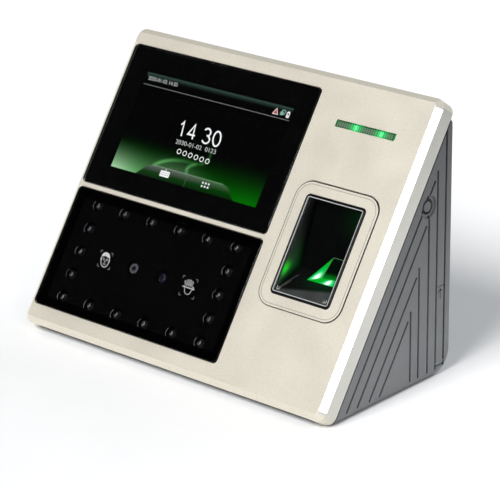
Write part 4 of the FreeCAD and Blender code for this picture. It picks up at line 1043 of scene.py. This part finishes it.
def make_reader_painted_reflections():
    """Painted reflections of the two lamps, as glow: a bright triangle and a strip beside it, each with a
    white painted highlight, and lines of painted light.
    """
    lift, reach = -2.4, 1.95

    def put(x, y):
        """Where a point shows through the window, moved to its depth along the usual line of sight."""
        return (x + SIGHT_X * reach, y + SIGHT_Y * reach, lift)

    tip, peak, notch = put(0.1, -14.2), put(9.9, -0.9), put(7.9, -11.4)
    right_low, right_high = put(15.6, -13.9), put(15.6, -10.9)

    # Painted light: green images of the lamps with white painted highlights; the panel beside them fades from
    # green to near-black.
    def triangle_painted_light(u, v):
        tone = add_colour((0.0, 0.46, 0.015), (0.0, 0.50, 0.30), spot(u, v, 0.52, 0.05, 0.36, 0.34))
        return add_colour(tone, (1.6, 1.2, 1.6), spot(u, v, 0.54, 0.10, 0.20, 0.13))

    def strip_painted_light(u, v):
        tone = add_colour((0.0, 0.46, 0.02), (0.0, 0.50, 0.30), spot(u, v, 0.74, 0.45, 0.20, 0.55))
        return add_colour(tone, (1.6, 1.2, 1.6), spot(u, v, 0.71, 0.42, 0.10, 0.36))

    def panel_painted_light(u, v):
        return mix_colour((0.0, 0.003, 0.001), (0.0, 0.22, 0.010), smooth(0.30, 0.0, v))

    lit_sheet("reader_light_triangle", [tip, notch, peak, peak], triangle_painted_light, 30, 30)
    lit_sheet("reader_light_strip", [tip, right_low, right_high, notch], strip_painted_light, 40, 12)
    lit_sheet("reader_light_panel", [notch, right_high, put(15.6, -0.9), peak], panel_painted_light, 12, 12)
    # Painted light lines along the facet's edges.
    build = bmesh.new()
    for start, end in ((peak, put(15.6, -0.9)), (peak, notch)):
        stroke(build, [(READER_X + start[0], READER_Y + start[1]), (READER_X + end[0], READER_Y + end[1])],
               0.28, lift - 0.02, lift + 0.06)
    lit_finish("edge_green_painted_light", (0.01, 0.22, 0.04), 0.6)
    add_built("reader_light_edges", build, "edge_green_painted_light")
    # Painted light: two grey glowing lines at the lower left.
    build = bmesh.new()
    for start, end, wide in ((put(-14.4, -21.4), put(-5.5, -12.9), 0.18),
                             (put(-14.0, -22.0), put(-8.4, -16.6), 0.3)):
        stroke(build, [(READER_X + start[0], READER_Y + start[1]), (READER_X + end[0], READER_Y + end[1])],
               wide, lift - 0.4, lift - 0.3)
    lit_finish("edge_grey_painted_light", (0.06, 0.06, 0.058), 0.5)
    add_built("reader_light_seams", build, "edge_grey_painted_light")


# ---------------------------------------------------------------- housing
def make_housing():
    shell = softened("rear_housing", "housing_shell", 0.15, "housing_plastic")
    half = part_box("rear_housing")[1].x
    # Painted shade in the side grooves of the housing and the flap.
    paint_groove_shade(shell, half, 0.75, 1.4)
    make_seam_shade()
    cover = softened("usb_port_cover", "usb_cover_flap", 0.15, "housing_plastic", "usb_cover")
    paint_groove_shade(cover, half, 0.2, 0.5)
    softened("power_button", "power_button_cap", 0.2, "housing_plastic", "power_button")


def paint_groove_shade(piece, half, least, deepest):
    """Paint shade into the grooves in an upright side, between two depths, as a darker finish on their walls
    and floors.
    """
    piece.data.materials.append(FINISH["seam_dark"])
    for face in piece.data.polygons:
        sunk = [half - abs(piece.data.vertices[i].co.x) for i in face.vertices]
        upright = abs(face.normal.x) < 0.1 and min(sunk) > 0.1 * MM
        if least * MM < max(sunk) < deepest * MM and (min(sunk) > least * MM or upright):
            face.material_index = 1


def make_seam_shade():
    """Dark strips in the shadow gap between the bezel and the housing, as painted shade."""
    build = bmesh.new()
    for side in (-1, 1):
        brick(build, side * 95.05, 76.5, -12.0, 0.7, 145.0, 0.76, 0.08)
    add_built("seam_shade_strips", build, "seam_dark")


# ---------------------------------------------------------------- back and underside
LEG_PITCH = 1.27


def make_back():
    """Wall plate, sockets, terminal blocks and board parts that show in the cable bay."""
    softened("wall_plate", "wall_plate_steel", 0.12, "plate_steel")
    softened("rubber_feet", "rubber_feet_soft", 0.3, "rubber")
    make_terminals()
    make_network_socket()
    make_power_inlet()
    make_usb_socket()
    make_board_parts()
    make_screws()


def make_terminals():
    """Screws above wire mouths with steel clamps, in every way of the terminal blocks; the clamps are
    near-black, painted shade deep in the mouths.
    """
    low, high = box_mm("terminal_blocks")
    screws, mouths, shaded_clamps = bmesh.new(), bmesh.new(), bmesh.new()
    for block in range(3):
        for way in range(4):
            x = low.x + 2.0 + 15.0 * block + 3.5 * way - 0.25
            screw_head(screws, x, high.y - 0.55, high.z - 2.6, 1.15, 0.5, (0, 1, 0))
            outline = rounded(0, 0, 2.5, 2.9, 0.3, 3)
            band(mouths, [(x + px, low.z + 2.3 + py) for px, py in outline],
                 [(x + px * 0.8, low.z + 2.3 + py * 0.8) for px, py in outline], 0.0, 0.35)
            # Painted shade: the clamp at the floor of each mouth is near-black.
            plate(shaded_clamps, [(x + px * 0.8, low.z + 2.3 + py * 0.8) for px, py in outline], 0.0, 0.1)
    upright = (Matrix.Translation((0, high.y, 0)) @ Matrix.Rotation(math.pi / 2, 4, "X")
               @ Matrix.Scale(-1, 4, (0, 0, 1)))
    add_built("terminal_screws", screws, "screw_steel", place=LEVEL)
    for name, build, finish in (("terminal_mouths", mouths, "terminal_green"),
                                ("terminal_shaded_clamps", shaded_clamps, "shield_dark")):
        for vert in build.verts:
            vert.co = upright @ vert.co
        add_built(name, build, finish, place=LEVEL)


def make_network_socket():
    """Shield springs and seams outside, and eight gold contacts in the mouth."""
    low, high = box_mm("network_socket")
    middle = (low.x + high.x) / 2
    shield, contacts = bmesh.new(), bmesh.new()
    for x in (low.x + 3.2, high.x - 3.2):
        stroke(shield, [(x - 1.3, low.z + 5.5), (x + 1.3, low.z + 5.5), (x + 1.1, low.z + 11.5),
                        (x - 1.1, low.z + 11.5)], 0.35, 0.0, 0.12, True)
        brick(shield, x, low.z + 8.0, 0.15, 1.5, 3.4, 0.3, 0.08)
    stroke(shield, [(middle, low.z + 0.6), (middle, high.z - 0.6)], 0.25, 0.0, 0.08)
    for z in (low.z + 1.2, high.z - 1.2):
        stroke(shield, [(low.x + 0.5, z), (high.x - 0.5, z)], 0.2, 0.0, 0.07)
    for vert in shield.verts:
        vert.co = Vector((vert.co.x, high.y + vert.co.z, vert.co.y))
    for i in range(8):
        brick(contacts, middle - 3.57 + 1.02 * i, high.y - 4.2, low.z + 5.0, 0.45, 0.35, 7.0, 0.1)
    add_built("network_shield_springs", shield, "screw_steel", place=LEVEL)
    add_built("network_contacts", contacts, "gold", place=LEVEL)


def make_power_inlet():
    """Round mouth rim, centre pin and moulded ribs of the power inlet."""
    low, high = box_mm("power_inlet")
    middle_x, middle_y = (low.x + high.x) / 2, (low.y + high.y) / 2
    build, pin = bmesh.new(), bmesh.new()
    band(build, circle(middle_x, middle_y, 4.2, 32), circle(middle_x, middle_y, 3.4, 32),
         low.z - 0.35, low.z + 0.2)
    for z in (low.z + 3.5, low.z + 7.0, low.z + 10.5):
        brick(build, middle_x, high.y + 0.1, z, high.x - low.x - 1.6, 0.3, 0.5, 0.1)
    profile = [(1.0, -0.4), (1.0, -5.6), (0.7, -6.3), (0.05, -6.5)]
    loft(pin, [at_height(circle(middle_x, middle_y, radius, 20), low.z + 6.5 + z) for radius, z in profile])
    add_built("power_inlet_ribs", build, "black_plastic", place=LEVEL)
    add_built("power_inlet_pin", pin, "screw_steel", place=LEVEL)


def make_usb_socket():
    """Folded shell springs and four gold strips on the tongue behind the flap."""
    low, high = box_mm("usb_socket")
    middle = (low.z + high.z) / 2
    build, strips = bmesh.new(), bmesh.new()
    for z in (middle - 3.2, middle + 3.2):
        brick(build, high.x - 4.5, high.y - 0.05, z, 4.2, 0.3, 1.6, 0.1)
    for i in range(4):
        brick(strips, high.x - 4.0, low.y + 2.6, middle - 3.75 + 2.5 * i, 6.4, 0.14, 1.0, 0.05)
    add_built("usb_socket_springs", build, "screw_steel", place=LEVEL)
    add_built("usb_contacts", strips, "gold", place=LEVEL)


def make_board_parts():
    """Chips with legs, small parts and printed lines on the main board's back."""
    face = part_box("main_board")[1].y / MM
    chips, legs, small, lines = bmesh.new(), bmesh.new(), bmesh.new(), bmesh.new()
    for x, z, wide, tall in ((8.0, 24.0, 9.0, 6.0), (27.0, 22.0, 7.0, 7.0), (-28.0, 24.0, 6.0, 5.0)):
        brick(chips, x, face + 0.75, z, wide, 1.3, tall, 0.15)
        count = int(wide / LEG_PITCH)
        for i in range(count):
            for side in (-1, 1):
                brick(legs, x + (i - (count - 1) / 2) * LEG_PITCH, face + 0.25, z + side * (tall / 2 + 0.5),
                      0.45, 0.3, 1.2, 0.05)
    for i in range(14):
        for z, shift in ((17.5, 0.0), (29.5, 1.4)):
            x = -46.0 + 6.6 * i + shift
            brick(small, x, face + 0.3, z, 1.8, 0.6, 0.9, 0.1)
            for side in (-1, 1):
                brick(legs, x + side * 1.05, face + 0.22, z, 0.45, 0.45, 1.0, 0.05)
    for i in range(9):
        x = -40.0 + 9.5 * i
        track = [(x, 15.6), (x, 19.0), (x + 2.2, 21.2), (x + 2.2, 26.5), (x - 1.0, 30.0)]
        stroke(lines, track, 0.3, 0.01, 0.05)
    for vert in lines.verts:
        vert.co = Vector((vert.co.x, face + vert.co.z, vert.co.y))
    for name, build, finish, slot in (("board_chips", chips, "chip_black", "black_plastic"),
                                      ("board_part_legs", legs, "screw_steel", "screw_steel"),
                                      ("board_small_parts", small, "chip_black", "black_plastic"),
                                      ("board_tracks", lines, "track_green", "board_green")):
        add_built(name, build, finish, place=LEVEL)


def make_screws():
    """Cross-recessed heads over the board screws."""
    low, high = box_mm("board_screws")
    build = bmesh.new()
    for x in (low.x + 2.7, high.x - 2.7):
        for z in (low.z + 2.7, high.z - 2.7):
            screw_head(build, x, 29.8, z, 2.6, 1.5, (0, 1, 0))
    add_built("board_screw_heads", build, "screw_steel", place=LEVEL)


def screw_head(build, x, y, z, radius, height, direction):
    """A pan head with a cross recess, its top towards a direction."""
    turn = Vector((0, 0, 1)).rotation_difference(Vector(direction)).to_matrix().to_4x4()
    place = Matrix.Translation((x, y, z)) @ turn
    start = len(build.verts)
    profile = [(radius, 0.0), (radius, height * 0.45), (radius * 0.9, height * 0.8), (radius * 0.7, height)]
    rings = [at_height(circle(0, 0, r, 28), h) for r, h in profile]
    cross = []
    arm, width = radius * 0.55, radius * 0.13
    for quarter in range(4):
        a = math.pi / 2 * quarter
        for px, py in ((width, -width), (arm, -width), (arm, width)):
            cross.append((px * math.cos(a) - py * math.sin(a), px * math.sin(a) + py * math.cos(a)))
    loops = new_loops(build, rings)
    skin(build, loops)
    build.faces.new(list(reversed(loops[0])))
    top = [build.verts.new((px, py, height)) for px, py in cross]
    floor = [build.verts.new((px, py, height * 0.35)) for px, py in cross]
    edges = [build.edges.new((a, b)) for a, b in zip(top, top[1:] + top[:1])]
    edges += [edge for edge in build.edges if edge.verts[0] in loops[-1] and edge.verts[1] in loops[-1]]
    bmesh.ops.triangle_fill(build, edges=edges, use_beauty=True)
    skin(build, [top, floor])
    build.faces.new(floor)
    build.verts.ensure_lookup_table()
    bmesh.ops.transform(build, matrix=place, verts=build.verts[start:])


# ---------------------------------------------------------------- stage
DARK_PATCH = Vector((-0.62, -0.59, 0.52)).normalized()
PATCH_EDGE, PATCH_CORE = 52, 24  # degrees from the patch's middle where the sky starts and ends to dim
SKY_STRENGTH, PATCH_STRENGTH = 0.32, 0.006
LAMP_TINT = (0.90, 0.95, 1.0)
LAMPS = (("right", (0.80, -0.44, 0.42), 1.3, 0.42, 1.9),  # name, direction, distance, size and power
         ("back", (0.15, 0.95, 0.60), 1.6, 0.9, 7.0))
KEY_DIRECTION, KEY_DISTANCE, KEY_POWER, KEY_ANGLE = (0.0, -0.74, 0.67), 1.5, 3.2, 30
LAMPS_AIM = (0.0, 0.0, 0.065)
CAMERA_PLACE, CAMERA_AIM, CAMERA_ROLL = (0.7716, -0.8575, 0.4860), (0.01015, 0.00183, 0.0528), -0.586
CAMERA_LENS, SENSOR_WIDTH = 185.7, 36.0
FLOOR_HALF, FLOOR_GAP = 6.0, 0.0002


def add_lamp(name, data, direction, distance):
    towards = Vector(direction).normalized()
    lamp = in_scene(bpy.data.objects.new(name, data))
    lamp.location = Vector(LAMPS_AIM) + towards * distance
    lamp.rotation_euler = (-towards).to_track_quat("-Z", "Y").to_euler()
    lamp.visible_camera = False


def make_world():
    """Soft light from all round, with a dark patch where the leaning glass would mirror it."""
    world = bpy.data.worlds.new("studio")
    world.use_nodes = True
    nodes, links = world.node_tree.nodes, world.node_tree.links
    sky = nodes["Background"]
    sky.inputs["Color"].default_value = (0.97, 0.98, 1.0, 1.0)
    place = nodes.new("ShaderNodeTexCoord")
    towards = nodes.new("ShaderNodeVectorMath")
    towards.operation = "DOT_PRODUCT"
    towards.inputs[1].default_value = DARK_PATCH
    links.new(place.outputs["Generated"], towards.inputs[0])
    fade = nodes.new("ShaderNodeMapRange")
    fade.interpolation_type = "SMOOTHSTEP"
    fade.inputs["From Min"].default_value = math.cos(math.radians(PATCH_EDGE))
    fade.inputs["From Max"].default_value = math.cos(math.radians(PATCH_CORE))
    fade.inputs["To Min"].default_value = SKY_STRENGTH
    fade.inputs["To Max"].default_value = PATCH_STRENGTH
    links.new(towards.outputs["Value"], fade.inputs["Value"])
    links.new(fade.outputs["Result"], sky.inputs["Strength"])
    bpy.context.scene.world = world


def make_stage():
    """Pale floor, soft lamps and the camera."""
    build = bmesh.new()
    bmesh.ops.create_grid(build, x_segments=1, y_segments=1, size=FLOOR_HALF)
    floor_mesh = as_mesh("floor", build)
    floor = in_scene(bpy.data.objects.new("floor", floor_mesh))
    floor.location.z = cad_low.z - FLOOR_GAP
    floor_mesh.materials.append(surface("floor_white", (0.97, 0.97, 0.97), 0.01, 30, (0.8, 0.9), 0.02,
                                        Specular_IOR_Level=0.1))

    make_world()
    for name, direction, distance, size, power in LAMPS:
        data = bpy.data.lights.new(name, "AREA")
        data.energy = power
        data.size = size
        data.color = LAMP_TINT
        add_lamp(name, data, direction, distance)
    key = bpy.data.lights.new("key", "SUN")
    key.energy = KEY_POWER
    key.angle = math.radians(KEY_ANGLE)
    add_lamp("key", key, KEY_DIRECTION, KEY_DISTANCE)

    lens = bpy.data.cameras.new("camera")
    lens.lens = CAMERA_LENS
    lens.sensor_width = SENSOR_WIDTH
    lens.clip_end = 20.0
    camera = in_scene(bpy.data.objects.new("camera", lens))
    place = Vector(CAMERA_PLACE)
    turn = (Vector(CAMERA_AIM) - place).to_track_quat("-Z", "Y").to_matrix().to_4x4()
    roll = Matrix.Rotation(math.radians(CAMERA_ROLL), 4, "Z")
    camera.matrix_world = Matrix.Translation(place) @ turn @ roll
    bpy.context.scene.camera = camera
    bpy.context.scene.view_settings.view_transform = "Standard"


make_stage()
dress_nodes()
make_face()
make_glasses()
make_picture()
make_screen_signs()
make_lamps()
make_lenses()
make_face_prints()
make_status_light()
make_reader_frame()
make_reader_window()
make_reader_well()
make_housing()
make_back()
